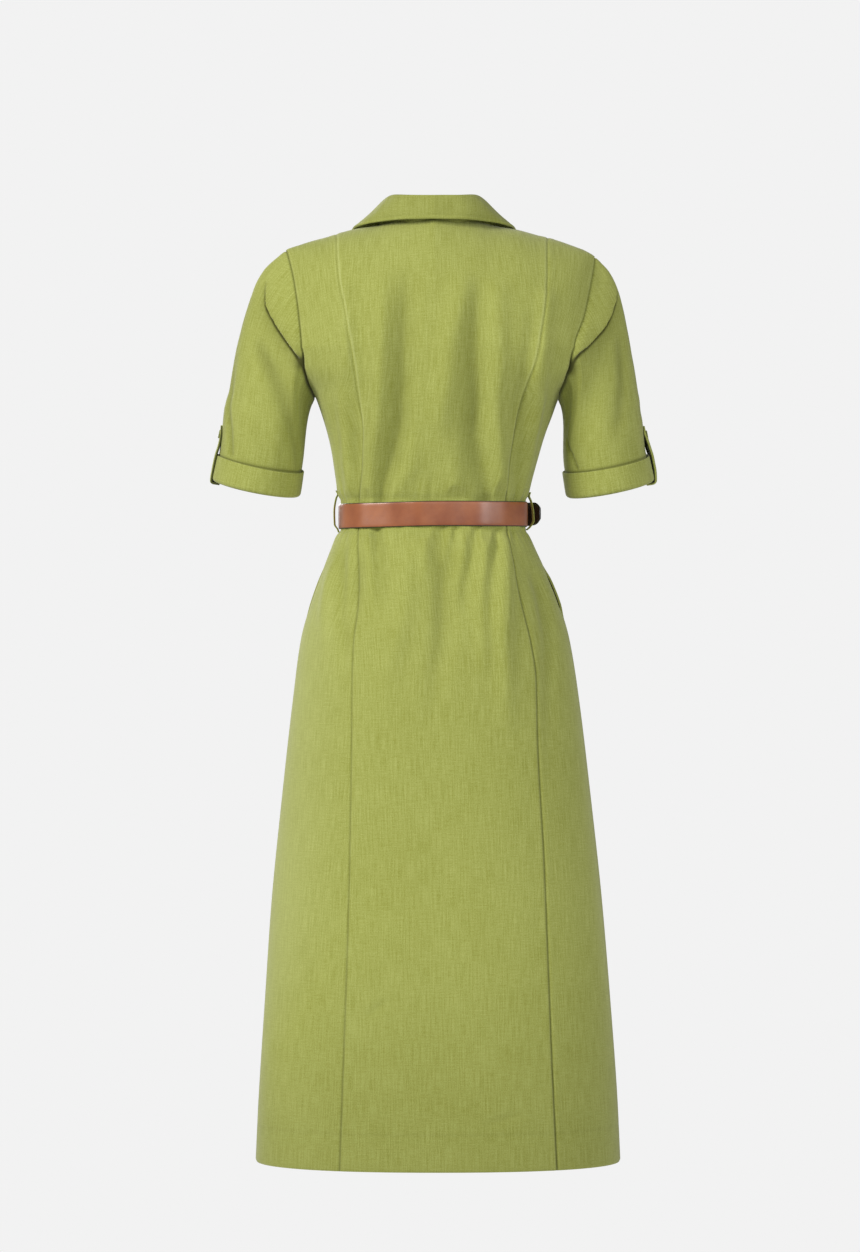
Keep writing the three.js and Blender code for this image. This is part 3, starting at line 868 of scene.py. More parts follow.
# %% Grids of the panels
LAYER = 1.0  # thickness of one layer of linen with its press
HEM_DEPTH = 45
NEAR = np.array([0, 0.7, 1.3, 2, 3, 4.5, 7, 11])  # columns beside a seam, mm from it
LEVELS = np.concatenate([
    HEM + np.array([0, 0.7, 1.6, 3, 6]),
    np.arange(HEM + 10, -425, 4.5),
    np.arange(-425, -300, 2.6),
    np.arange(-300, CHEST - 1, 4),
    np.linspace(CHEST, TOP - 4, 52),
    TOP - np.array([2.4, 1.4, 0.7, 0]),
])


def relief(d, sink=1.3):
    """The dip of a seam and the band that its allowances raise."""
    return -sink * bell(d, 1.3) + 0.3 * ease(d, 1, 2.6) * (1 - ease(d, 8, 11))


def panel_grid(side, start, end, middle, sink=(1.3, 1.3), levels=LEVELS):
    """The smooth grid of a panel between two edges, its outward directions, and the lift of its own seams."""
    share = np.linspace(0, 1, middle + 1)[1:-1]
    columns = len(NEAR) * 2 + len(share)
    to_left = np.concatenate([NEAR, np.full(columns - len(NEAR), 99.0)])
    to_right = to_left[::-1]
    level = np.repeat(levels[:, None], columns, 1)
    top_share = NECK["back" if side < 0 else "front"]
    v = level.copy()
    for _ in range(4):
        u0, u1 = start(v), end(v)
        per0 = np.linalg.norm(form(side, u0 + 0.002, v) - form(side, u0, v), axis=-1) / 0.002
        per1 = np.linalg.norm(form(side, u1 - 0.002, v) - form(side, u1, v), axis=-1) / 0.002
        low, high = u0 + NEAR[-1] / per0, u1 - NEAR[-1] / per1
        inside = np.concatenate([np.zeros(len(NEAR)), share, np.ones(len(NEAR))])
        u = mix(low, high, inside)
        u = np.where(to_left < 90, u0 + to_left / per0, u)
        u = np.where(to_right < 90, u1 - to_right / per1, u)
        top = np.minimum(TOP, CHEST + ARC * top_share(np.abs(form(side, u, v)[..., 0])))
        v = np.where(level > CHEST, mix(CHEST, top, (level - CHEST) / ARC), level)
    base = form(side, u, v)
    # Over the shoulder blades the seams are pressed flatter than on the skirt.
    flatter = 1 - 0.6 * ease(v, -230, -90)
    lift = relief(to_left, sink[0] * flatter) + relief(to_right, sink[1] * flatter) + 0 * v
    lift += relief(TOP - v) * (top > TOP - 0.5)
    return base, outward(side, u, v), lift, u, v, to_left, to_right


def hem_lift(v):
    """The hem's edge rolls under a little, and its blind stitching draws a faint line."""
    return -0.9 * bell(v - HEM, 1.2) - 0.22 * bell(v - HEM - HEM_DEPTH, 1.1)


print(len(LEVELS), "rows from the hem to the shoulder seam")

# %% [markdown]
# ### Folds, seams and painted shade on a panel
# A panel takes the folds, the dips of its seams and the hem together. They could be stacked as modifiers, but one
# sum lets the folds die away at the side seams and under the belt. The painted shade and light are set in the
# same place.

# %% A panel of cloth
# Painted shade: along the hem's stitching, over the low skirt, over the chest and at the side seams.
HEM_LINE_SHADE, LOW_SKIRT_SHADE, CHEST_SHADE, SIDE_SEAM_SHADE = 0.1, 0.26, 0.05, 0.2
# Painted shade in the troughs of the folds.
TROUGH_SHADE = 0.018  # for each mm that a fold goes in
UNDER_BELT = 0.7  # the most that a fold may stand out there, mm


def painted_shade_by_height(v):
    """Painted shade, set to follow the photo: a dark hem line, a darker low skirt and a darker chest."""
    low, chest = 1 - ease(v, HEM - 60, -820), ease(v, -140, 20)
    return HEM_LINE_SHADE * bell(v - HEM - HEM_DEPTH, 1.1) + LOW_SKIRT_SHADE * low + CHEST_SHADE * chest


def painted_sides(u, v):
    """More of it: painted light on the sides of the skirt, and painted shade at the side seams."""
    skirt = (1 - ease(v, -520, -400)) * (0.35 + 0.65 * ease(v, HEM, -860)) * (v < -400)
    pale = skirt * (0.2 * bell(u + 0.7, 0.22) + 0.13 * bell(u - 0.84, 0.07))
    return SIDE_SEAM_SHADE * ease(np.abs(u), 0.93, 1) - pale


def cloth_panel(name, side, start, end, middle, sink=(1.3, 1.3), extra=None,
                line=((0.2, 0), (0.2, 0))):
    """Makes a panel. line gives how much painted shade each edge seam takes, and how much painted highlight its
    pressed edge.
    """
    base, out, lift, u, v, to_left, to_right = panel_grid(side, start, end, middle, sink)
    # The folds die away at the side and shoulder seams, where the back meets the front.
    fade = (1 - ease(np.abs(u), 0.86, 0.99)) * (1 - ease(v, TOP - 40, TOP - 5))
    # The belt presses them flat, so that none stands out past it.
    room = UNDER_BELT + 9 * np.maximum(ease(v, -336, -306), 1 - ease(v, -412, -378))
    folds = np.minimum(lift_of(side, base.reshape(-1, 3)).reshape(v.shape) * fade, room)
    # Fullness over the shoulders, a little more on the right.
    x = base[..., 0]
    full = ease(v, TOP - 60, TOP - 4) * (2 * bell(x + 155, 28) + 3.2 * bell(x - 152, 32))
    lift = lift + folds + hem_lift(v) + full
    # Painted shade in the fold troughs, down the height and at the side seams, and painted light on the skirt's
    # sides.
    crease = TROUGH_SHADE * np.maximum(0, -folds) + painted_shade_by_height(v) + painted_sides(u, v)
    # Painted shade in each seam, and higher up a painted highlight along its pressed edge.
    high = ease(v, -330, -190)
    for edge, (much, pale) in zip((to_left, to_right), line):
        crease = crease + much * bell(edge, 1.2) * (1 - 0.5 * high) - pale * bell(edge - 2.6, 1.3) * high
    if extra:
        lift = lift + extra(u, v)
    thick = LAYER * (2 - ease(v, HEM + HEM_DEPTH - 1.5, HEM + HEM_DEPTH + 0.5))
    outer = base + out * lift[..., None]
    sew(name + "_panel", name, base, outer, outer - out * thick[..., None],
        offset=(len(name) * 31, 0), crease=crease)


print("cloth", LAYER, "mm a layer, hem", HEM_DEPTH, "mm deep")

# %% [markdown]
# ### The five panels
# The mouth of an in-seam pocket gapes a little: the back edge lies in and the front edge stands out. A cut in the
# mesh would gape further than the real one, so the two edges are only moved apart. The right side also stands out
# below the sleeve.

# %% Back and front panels
MOUTH_LOW, MOUTH_HIGH, MOUTH_SOFT = -478, -428, 12
MOUTH_GAPES = {1: 1.0, -1: 0.35}  # how much, right and left


def mouth_lift(side):
    def lift(u, v):
        total = 3.8 * bell(v + 226, 26) * ease(u, 0.8, 0.98)
        rise = ease(v, MOUTH_LOW - MOUTH_SOFT, MOUTH_LOW + MOUTH_SOFT)
        fall = 1 - ease(v, MOUTH_HIGH - MOUTH_SOFT, MOUTH_HIGH + MOUTH_SOFT)
        for sign, much in MOUTH_GAPES.items():
            total += rise * fall * ease(sign * u, 0.84, 0.99) * much * (2.6 if side > 0 else -1.4)
        return total

    return lift


cloth_panel("back_centre", -1, seam("left"), seam("right"), 90, (0.8, 1.2),
            line=((0.35, 0.3), (0.5, 0.25)))
cloth_panel("back_side_left", -1, armhole("left", -1), seam("left"), 34, (0.8, 0.8),
            mouth_lift(-1), ((0.4, 0.1), (0.3, 0.1)))
cloth_panel("back_side_right", -1, seam("right"), armhole("right", -1), 34, (1.2, 0.8),
            mouth_lift(-1), ((0.5, 0), (0.2, 0.1)))
cloth_panel("front_left", 1, armhole("left", 1), beside_middle(-BAND), 62, (1.3, 0),
            mouth_lift(1))
cloth_panel("front_right", 1, beside_middle(BAND), armhole("right", 1), 62, (0, 1.3),
            mouth_lift(1))

# %% [markdown]
# ## Sleeves
# Each sleeve runs from its armhole edge, out over the shoulder's tip, to a round end inside the cuff. A plain
# tube could be bent to that, but wouldn't meet the armhole. So its surface is a bundle of curves, one for each
# place round the armhole, and its first row is the armhole itself.

# %% The sleeve's surface
SLEEVES = {
    "left": {"side": -1, "out": (-0.8, 0, -0.6), "pull": 0.32, "foot": (-223.2, 20, -321)},
    "right": {"side": 1, "out": (0.72, 0, -0.69), "pull": 0.28, "foot": (221.2, 20, -322)},
}
LEAN_OUT, LEAN_FORWARD = 0.2, 0.14  # of the sleeve's axis, for each unit down
END_ACROSS, END_DEEP = 52, 55  # half sizes at the cuff
CUFF_TALL, CUFF_THICK, CUFF_CLEAR, CUFF_FLARE = 31, 2.6, 0.4, 1.6
HANG = 0.88  # the share of the sleeve above the cuff
TAU = 2 * np.pi


def sleeve_axes(name):
    sign = SLEEVES[name]["side"]
    down = unit(np.array([sign * LEAN_OUT, LEAN_FORWARD, -1.0]))
    out = unit(np.array([sign, 0, 0]) - sign * down[0] * down)
    back = unit(np.cross(down, out))
    return down, out, back * -np.sign(back[1])


def round_sleeve(name, turn, up, grow):
    """A point round the sleeve's axis: turn 0 is outside, a quarter the back, a half the inside."""
    down, out, back = sleeve_axes(name)
    turn, up, grow = (np.asarray(x, float)[..., None] for x in (turn, up, grow))
    ring = out * (END_ACROSS + grow) * np.cos(turn * TAU) + back * (END_DEEP + grow) * np.sin(turn * TAU)
    return np.array(SLEEVES[name]["foot"]) - down * up + ring


def armhole_edge(name, turn):
    v = mix(TOP, UNDERARM, 2 * np.minimum(turn, 1 - turn))
    at_back, in_front = (form(side, armhole(name, side)(v), v) for side in (-1, 1))
    return np.where((turn <= 0.5)[..., None], at_back, in_front)


def sleeve_surface(name, turn, share):
    turn, share = np.broadcast_arrays(turn % 1, share)
    down, _, _ = sleeve_axes(name)
    own = SLEEVES[name]
    b = np.minimum(share / HANG, 1)[..., None]
    end = round_sleeve(name, turn, CUFF_TALL + 1, 0)
    inside = ((1 - np.cos(turn * TAU)) / 2)[..., None]
    lead = unit(mix(np.array(own["out"]), np.array([own["side"] * 0.5, 0, -0.87]), inside))
    start = armhole_edge(name, turn) + lead * 0.8
    far = np.linalg.norm(end - start, axis=-1, keepdims=True)
    first = start + lead * far * mix(own["pull"], 0.3, inside)
    second = end - down * far * 0.35
    curve = (1 - b) ** 3 * start + 3 * b * (1 - b) ** 2 * first + 3 * b * b * (1 - b) * second + b**3 * end
    straight = round_sleeve(name, turn, mix(CUFF_TALL + 1, 4, np.clip((share - HANG) / (1 - HANG), 0, 1)), 0)
    return np.where((share > HANG)[..., None], straight, curve)


def normals_of(grid, inside):
    """Unit normals of a grid that closes round on itself, away from points inside it."""
    across = np.roll(grid, -1, 1) - np.roll(grid, 1, 1)
    normal = unit(np.cross(across, np.gradient(grid, axis=0)))
    return normal * np.sign((normal * (grid - inside)).sum())


print("left sleeve's end, mm:", sleeve_surface("left", np.array([0.0]), np.array([1.0]))[0].round(1))

# %% [markdown]
# ### Creases and folds of the sleeves
# From the shoulder to the underarm the cloth of the cap laps over the cloth below it: a step with a sharp groove
# under it. A simulation at this scale would miss such a crisp edge, so it is drawn as a line too. Each line goes
# by turn (0 outside, 0.25 back, 0.5 inside) and share of the way to the cuff. "step" is how far the upper cloth
# stands over the lower. A fold's columns are turn, share, height and width. The folds in front are made up.

# %% Lines of the creases and folds
CREASES = {
    "left": """
turn share deep step
0.1 0.14 0 0
0.129 0.168 -1.2 1.6
0.161 0.203 -2.6 3
0.23 0.21 -3.8 4.4
0.316 0.165 -4 4.4
0.37 0.1 -3.6 3.4
0.414 0.022 -2.5 1.5
""",
    "right": """
turn share deep step
0.035 0.17 0 0
0.056 0.19 -1 1.6
0.1 0.206 -2 2.6
0.152 0.217 -3.2 3.8
0.233 0.217 -4 4.4
0.29 0.18 -4 4.4
0.341 0.135 -4 4
0.39 0.06 -3.2 2.6
0.432 0 -2 1
""",
}
SLEEVE_FOLDS = {
    "left": """
0.04 0.45 0 8
0.058 0.662 -2.4 6
0.1 0.768 -2.8 5
0.125 0.86 -2.2 4

0.16 0.36 0 9
0.2 0.39 -2.2 9
0.25 0.415 -3 9
0.3 0.45 -2.6 10
0.345 0.5 -2.2 10
0.38 0.6 -2.2 9
0.41 0.75 -1.8 8
0.42 0.86 -1 7

0.13 0.45 0 14
0.17 0.65 2 14
0.2 0.86 1 12

0.26 0.58 0 12
0.3 0.7 1.6 12
0.31 0.86 0.8 10

0.7 0.3 0 10
0.72 0.5 -2.6 9
0.66 0.7 -2 10
0.62 0.86 -0.8 9

0.88 0.35 0 9
0.85 0.6 -2 9
0.86 0.86 -1.5 8
""",
    "right": """
0.46 0.56 0 3
0.446 0.638 -2.2 3
0.399 0.765 -2.8 2.4
0.373 0.868 -2.8 2

0.14 0.33 0 8
0.149 0.41 -2.2 8
0.154 0.535 -2.6 8
0.174 0.65 -2.2 9
0.189 0.728 -1.2 9
0.2 0.8 0 9

0.25 0.4 0 14
0.26 0.6 1.8 15
0.27 0.8 0.9 12

0.71 0.32 0 10
0.73 0.52 -2.6 9
0.68 0.7 -2 10
0.64 0.86 -0.8 9

0.9 0.36 0 9
0.87 0.62 -1.8 9
0.87 0.86 -1.2 8
""",
}
# How far the outer side stands out or lies in from the plain curve, in mm, by the share of the way to the cuff.
OUTER_SIDE = {
    "left": [(0, 0.5), (0.08, 1.5), (0.12, 2.5), (0.18, 2), (0.25, 0), (0.32, -1), (0.4, -1.2), (0.48, -0.5),
             (0.55, -0.2), (0.63, 0.3), (0.67, 2.4), (0.71, 3.6), (0.75, 3.2), (0.83, 2), (0.9, 0.8), (1, 0)],
    "right": [(0, 1), (0.06, 1.8), (0.12, 2.2), (0.2, 1.6), (0.28, 0), (0.38, -1.2), (0.46, -1.2), (0.54, -0.2),
              (0.62, 0.6), (0.66, 1.4), (0.7, 1), (0.74, 1.8), (0.8, 1), (0.86, 0), (1, 0)],
}
print({name: SLEEVE_FOLDS[name].count("\n\n") + 1 for name in SLEEVES}, "folds on the sleeves")


# %% Cloth that laps over
def lapping(at, path, normals, deep, step):
    """A crease where the upper cloth laps over the lower: how far each point lifts and slides, and how much painted
    shade it takes.

    The lower cloth sinks beside the line. The upper cloth stands over it and slides across it, in a lip.
    """
    lift, slide, dark = np.zeros(len(at)), np.zeros((len(at), 3)), np.zeros(len(at))
    near, d, place, off = distance(at, path, 45)
    k = np.arange(len(path))
    aside = unit(np.cross(np.gradient(path, axis=0), normals))
    aside *= np.where(aside[:, 2:] < 0, -1, 1)  # towards the shoulder
    index = np.clip(np.round(place).astype(int), 0, len(path) - 1)
    above = (off * aside[index]).sum(1)
    end = 1 - ease(np.sqrt(np.maximum(d**2 - above**2, 0)), 2, 12)
    stands = np.interp(place, k, step) * end
    over = above - 0.4 * stands
    upper, under = ease(over, -0.9, 1.2), ease(-over, -0.9, 0.6)

    def dies(far, within):
        return np.exp(-np.maximum(far, 0) / within)

    sinks = np.interp(place, k, deep) * end
    groove = 0.75 * dies(-over, 2.6) + 0.25 * dies(-over, 12)
    lift[near] = stands * upper * dies(over, 24) + sinks * under * groove
    slide[near] = -aside[index] * (0.5 * stands * upper * dies(over, 11))[:, None]
    # Painted shade deep in the groove, and a broader painted shadow to both sides of it.
    beside = 0.34 * under * dies(-over, 13) + 0.2 * (1 - under) * dies(over, 7)
    dark[near] = -sinks / 4 * (1.15 * bell(above + 1, 1.9) + beside)
    return lift, slide, dark


print("the left crease sinks", -rows(CREASES["left"])["deep"].min(), "mm at its deepest")

# %% [markdown]
# ### Sewing the sleeves
# The sleeve is one grid all the way round, finer at its seam, where the cloth dips in and the seam allowance
# turns under the panels. Light and shade are painted into it as into the panels: painted shade darkens the seam,
# the crease, the underarm and the outer edge, a painted shadow lies above the cuff, and a painted highlight runs
# beside the seam, each to follow the photo.

# %% Sleeves
TURNS = 208
SHARES = np.concatenate([
    [0, 0.003, 0.006, 0.01, 0.015, 0.021, 0.03], np.linspace(0.04, HANG, 112), np.linspace(HANG, 1, 14)[1:],
])
# Painted shade in the armhole seam, the underarm and along the outer edge, and the cuff's painted shadow.
ARMHOLE_SEAM_SHADE = {"left": 0.4, "right": 0.2}
UNDERARM_SHADE, OUTER_EDGE_SHADE, CUFF_LINE_SHADOW, DARKEST = 0.8, 0.22, 0.6, 0.92
GRAIN_ROUND = 342  # the way round the sleeve on its cut, mm


def facing_edge(name, turn):
    """The outward direction of the body along the armhole."""
    v = mix(TOP, UNDERARM, 2 * np.minimum(turn, 1 - turn))
    back, front = (outward(side, armhole(name, side)(v), v) for side in (-1, 1))
    return np.where((turn <= 0.5)[:, None], back, front)[None]


def make_sleeve(name):
    turn, share = np.meshgrid(np.arange(TURNS) / TURNS, SHARES)
    base = sleeve_surface(name, turn, share)
    down, _, _ = sleeve_axes(name)
    foot = np.array(SLEEVES[name]["foot"])
    axis = foot + ((base - foot) @ down)[..., None] * down
    out = normals_of(base, axis)
    flat = base.reshape(-1, 3)
    lift = np.zeros(len(flat))
    for text in SLEEVE_FOLDS[name].strip().split("\n\n"):
        table = rows("turn share deep wide\n" + text)
        path, (deep, wide) = run(sleeve_surface(name, table["turn"], table["share"]), table["deep"], table["wide"])
        lift += soft_fold(flat, path, deep, wide)
    table = rows(CREASES[name])
    line = sleeve_surface(name, table["turn"], table["share"])
    path, (deep, step) = run(line, table["deep"], table["step"])
    closest = np.array([((flat - p) ** 2).sum(1).argmin() for p in path])
    # Painted shade in the troughs of the folds.
    crease = -0.1 * np.minimum(lift, 0)
    # Painted shade along the lapped crease, and a pool of it where the crease ends in the underarm.
    lapped, slide, dark = lapping(flat, path, out.reshape(-1, 3)[closest], deep, step)
    pit = bell(np.linalg.norm(flat - path[-1], axis=-1), 9)
    crease = (crease + np.maximum(dark, 0) + UNDERARM_SHADE * pit).reshape(share.shape)
    lift = (lift + lapped).reshape(share.shape)
    from_seam = np.linalg.norm(base - base[:1], axis=-1)
    lift = lift * ease(from_seam, 0, 12) + relief(from_seam, 0.8)
    # Painted shade in the armhole seam, wider at the underarm, and above there a painted highlight beside it.
    low = ease(-base[..., 2], 150, 175)
    crease += (ARMHOLE_SEAM_SHADE[name] + 0.5 * low) * bell(from_seam, 1.1 + 3 * low)
    crease = np.clip(crease - 0.15 * bell(from_seam - 3, 1.5) * (1 - low), -0.3, DARKEST)
    lift *= 1 - ease(share, HANG - 0.03, HANG) * 0.9  # the cuff holds the cloth round
    at, off = np.array(OUTER_SIDE[name]).T
    lift += smooth_line(at, off)(share) * np.cos(turn * np.pi) ** 6 * ease(from_seam, 0, 25)
    # Painted shade along the outer edge, and a painted shadow that the cuff's free edge casts on the sleeve.
    crease += OUTER_EDGE_SHADE * bell(np.minimum(turn, 1 - turn), 0.05) * ease(share, 0.15, 0.35)
    crease = np.maximum(crease, CUFF_LINE_SHADOW * bell((base - foot) @ -down - CUFF_TALL - 1, 1.8))
    outer = base + out * lift[..., None] + slide.reshape(base.shape) * ease(from_seam, 0, 10)[..., None]
    inner = outer - out * LAYER
    # The seam allowance turns in under the panels, so that the seam is closed.
    inward = unit(np.array([0, 0, -130.0]) * (base[:1, :, 2:] < -150) + (0, 0, -60) - base[:1])
    allowance = base[:1] - facing_edge(name, turn[0]) * 2.4 + inward * 5
    base, outer = np.concatenate([allowance, base]), np.concatenate([allowance, outer])
    crease = np.concatenate([crease[:1], crease])
    inner = np.concatenate([allowance - facing_edge(name, turn[0]) * LAYER, inner])
    # The grain runs down the sleeve, so the cut goes by the way round and the height on the axis.
    grain = np.stack([np.concatenate([turn[:1], turn]) * GRAIN_ROUND, (base - foot) @ -down], -1)
    sew(f"sleeve_{name}_cloth", f"sleeve_{name}", base, outer, inner, ring=True,
        offset=(2000, 0), grain=grain, crease=crease)


for name in SLEEVES:
    make_sleeve(name)

# %% [markdown]
# ## Sections swept along a way
# Cuffs, tabs, belt and loops are all one section carried along a way. Blender's curves sweep a bevel too, but
# they twist it by rules of their own. Rings of points, joined one to the next, stay where they are put.

# %% Rings and sections
def thicken(path, thick, rounds=4):
    """The outline of a thick line in section, with rounded ends. path is (n, 2)."""
    ahead = unit(np.gradient(path, axis=0))
    side = np.stack([-ahead[:, 1], ahead[:, 0]], -1) * thick / 2
    turns = np.linspace(0, np.pi, rounds + 2)[1:-1, None]
    last = path[-1] + side[-1] * np.cos(turns) + ahead[-1] * np.sin(turns) * thick / 2
    first = path[0] - side[0] * np.cos(turns) - ahead[0] * np.sin(turns) * thick / 2
    return np.concatenate([path + side, last, (path - side)[::-1], first])


def resample(path, count):
    way = np.append(0, np.cumsum(np.linalg.norm(np.diff(path, axis=0), axis=1)))
    at = np.linspace(0, way[-1], count)
    return np.stack([smooth_line(way, c)(at) for c in path.T], -1)


def loft(rings, closed=False):
    """Faces that join rings of points to each other, with ends filled unless the loft is closed."""
    rings = np.asarray(rings)
    count, size = rings.shape[:2]
    i, j = np.meshgrid(np.arange(count if closed else count - 1), np.arange(size), indexing="ij")
    n, k = (i + 1) % count, (j + 1) % size
    faces = np.stack([i * size + j, i * size + k, n * size + k, n * size + j], -1).reshape(-1, 4).tolist()
    points = rings.reshape(-1, 3)
    if not closed:
        faces += [list(range(size))[::-1], list(range((count - 1) * size, count * size))]
    volume = 0
    for f in faces:
        for m in range(1, len(f) - 1):
            volume += points[f[0]] @ np.cross(points[f[m]], points[f[m + 1]])
    return points, faces if volume > 0 else [f[::-1] for f in faces]


print("a 10 mm line, 2 mm thick, has", len(thicken(np.array([(0.0, 0), (5, 0), (10, 0)]), 2)), "points round it")

# %% [markdown]
# ## Turned-back cuffs
# The sleeve's end is turned up over itself, so the cuff is one loop of doubled cloth: up inside the sleeve,
# round a soft fold at the bottom, and up the outside to a free edge. A plain band round the sleeve would look
# stuck on, so the fold is drawn in section, thickened to both sides and swept round the sleeve, a little uneven.

# %% Cuffs
CUFF_PATH = np.array([
    (-2.7, 17), (-2.7, 10), (-2.7, 4), (-2.1, 0.9), (0.2, -0.5), (2.6, 0.6), (3.7, 3), (3.6, 9), (3.1, 17),
    (2.5, 24), (2.1, 30),
])  # off the sleeve and up it, mm


def make_cuff(name, unevenness):
    path = resample(CUFF_PATH, 34)
    section = thicken(path, 1.8)
    turn = np.arange(180) / 180
    way = turn[:, None] * TAU
    off, up = section[None, :, 0], section[None, :, 1]
    top = ease(up, 8, 30) * (off > 0)
    a, b, c = unevenness
    sway = a * np.sin(way + b) + 0.5 * np.sin(2 * way + c) + 0.3 * np.sin(5 * way + b + c)
    up, off = up + top * 0.6 * np.sin(2 * way + b), off + top * (0.4 + sway * 0.7)
    rings = round_sleeve(name, turn[:, None] + 0 * up, up, off)
    points, faces = loft(rings, closed=True)
    middle = round_sleeve(name, turn, 15, 3)
    around_it = np.append(0, np.cumsum(np.linalg.norm(np.diff(middle, axis=0), axis=1)))
    along = np.append(0, np.cumsum(np.linalg.norm(np.diff(section, axis=0), axis=1)))
    cut = np.stack(np.broadcast_arrays(around_it[:, None], along[None]), -1).reshape(-1, 2)
    made = piece(f"cuff_{name}_turned", points, faces, WOVEN_LINEN, [f"cuff_{name}"], cut=cut + (3000, 0))


make_cuff("left", (0.5, 0.4, 2.1))
make_cuff("right", (0.5, 2.6, 0.7))

# %% [markdown]
# ## Roll tabs
# A tab is a short doubled strap that holds the rolled sleeve: it comes out under the cuff, hooks round its edge
# and buttons on the sleeve's outer side. It is a swept section too, with sewn edges that swell a little, and it
# narrows to a soft point. The right one stands off the sleeve more, as the real one does.

# %% Roll tabs
STAY = CUFF_CLEAR + CUFF_THICK + CUFF_FLARE
TAB_LINE = np.array([
    (-3.7, STAY - 9), (-4, STAY - 1.5), (-2.8, STAY + 1.2), (5, STAY + 1.9), (18, STAY + 1.9),
    (33, STAY + 1.3), (42, 4.8), (50, 4.4), (59, 4.8), (68, 5.6),
])
TAB_LINE_LOOSE = np.array([
    (-3.7, STAY - 9), (-4, STAY - 1.5), (-2.8, STAY + 1.4), (3, STAY + 2.9), (14, STAY + 4),
    (28, STAY + 4), (40, STAY + 2.8), (50, 6.2), (60, 4.6), (68, 4.2),
])
TAB_HALF, TAB_TIP = 12, 9
# How far to the back each tab sits, how closely it goes round the sleeve, its thickness, and its line.
TAB_PLACE = {"left": (1, 0.9, 2.8, TAB_LINE), "right": (-4, 1.5, 3.2, TAB_LINE_LOOSE)}


def make_tab(name):
    _, _, back = sleeve_axes(name)
    shift, wrap, thick, line = TAB_PLACE[name]
    line = resample(line, 64)
    way = np.append(0, np.cumsum(np.linalg.norm(np.diff(line, axis=0), axis=1)))
    half = TAB_HALF * (1 - 0.62 * (1 - np.clip((way[-1] - way) / TAB_TIP, 0, 1)) ** 1.6)
    turns = np.arange(32) / 32 * TAU
    flat_side = np.sign(np.cos(turns)) * np.abs(np.cos(turns)) ** 0.35
    thick_side = np.sign(np.sin(turns)) * np.abs(np.sin(turns)) ** 0.6
    swell = 1 + 0.25 * bell(np.abs(flat_side) - 0.9, 0.06) - 0.2 * bell(np.abs(flat_side) - 0.72, 0.05)
    across = shift + half[:, None] * flat_side
    off = line[:, 1:] - 0.9
    ahead = unit(np.gradient(line, axis=0))
    up = line[:, :1] - ahead[:, 1:] * thick / 2 * thick_side * swell
    off = off + ahead[:, :1] * thick / 2 * thick_side * swell
    turn = across * wrap / (TAU * (END_ACROSS + off))
    rings = round_sleeve(name, turn, up, off) + back * (across * (1 - wrap))[..., None]
    points, faces = loft(rings)
    cut = np.stack([across, way[:, None] + 0 * across], -1).reshape(-1, 2) + (3600, 0)
    # Its underside, and the left one's long edges too, wear the darker linen, which is painted shade, to follow the
    # photo's shade there.
    shaded = (thick_side < 0.15) | (np.abs(flat_side) > 0.93) & (name == "left")
    around_edge = [len(f) == 4 and all(shaded[i % len(turns)] for i in f) for f in faces]
    made = piece(f"sleeve_tab_{name}_strap", points, faces, [WOVEN_LINEN, PAINTED_SHADE_LINEN], [f"sleeve_tab_{name}"],
                 cut=cut, wears_of=np.array(around_edge, int))


for name in SLEEVES:
    make_tab(name)
print("tabs:", 2 * TAB_HALF, "mm wide")

# %% [markdown]
# ## Button band
# The button band is two strips of doubled cloth. The one that shows overlaps the other by its whole width, and
# its edges are topstitched 5 mm in. The stitching pulls the cloth down in a shallow line. Stitches could be
# modelled one by one, but are too small to show beyond a fine dotted line, so the line only has their dimples.

# %% Bands
def stitch_rows(d, at, pitch=2.6, depth=0.3):
    """A line of topstitching at d = 0: a shallow channel with a dimple at every needle hole."""
    return -depth * bell(d, 0.8) * (1 + 0.5 * np.cos(at / pitch * TAU))


def band(name, node_name, low, high, raise_by, thick, shows):
    wide, edge = high - low, np.array([0.1, 0.5, 1.2])
    columns = np.concatenate([edge, np.linspace(2, wide - 2, 19), (wide - edge)[::-1]])
    levels = [HEM + np.array([0, 0.8, 2]), np.arange(HEM + 5, CHEST, 3.2), np.linspace(CHEST, TOP, 60)]
    levels = np.concatenate(levels)
    v, x = np.meshgrid(levels, low + columns, indexing="ij")
    top = CHEST + ARC * NECK["front"](np.abs(x))
    v = np.where(v > CHEST, mix(CHEST, top, (v - CHEST) / ARC), v)
    u = around(x, v)
    base = form(1, u, v)
    out = outward(1, u, v)
    lift = lift_of(1, base.reshape(-1, 3)).reshape(v.shape) + hem_lift(v) + raise_by
    if shows:
        edge = np.minimum(x - low, high - x)
        lift += stitch_rows(edge - 5, v) - 0.8 * bell(edge, 0.7)
    outer = base + out * lift[..., None]
    # The band takes the same painted shade down its height as the panels.
    sew(name, node_name, base, outer, outer - out * thick, offset=(4000 + low, 0),
        crease=painted_shade_by_height(v))


band("button_band_right", "placket_right", -BAND, BAND, 1.0, 2.4, True)
band("button_band_left", "placket_left", -BAND - 8, BAND + 5, -2.6, 1.6, False)  # wider, so no slit shows

# %% [markdown]
# ## Pocket bags
# Behind each pocket's mouth a bag hangs inside the front. Only its cloth closes the mouth from behind, so one
# thin wall that follows the front's folds is enough. It is narrower at the bottom, as a bag cut on a curve is.

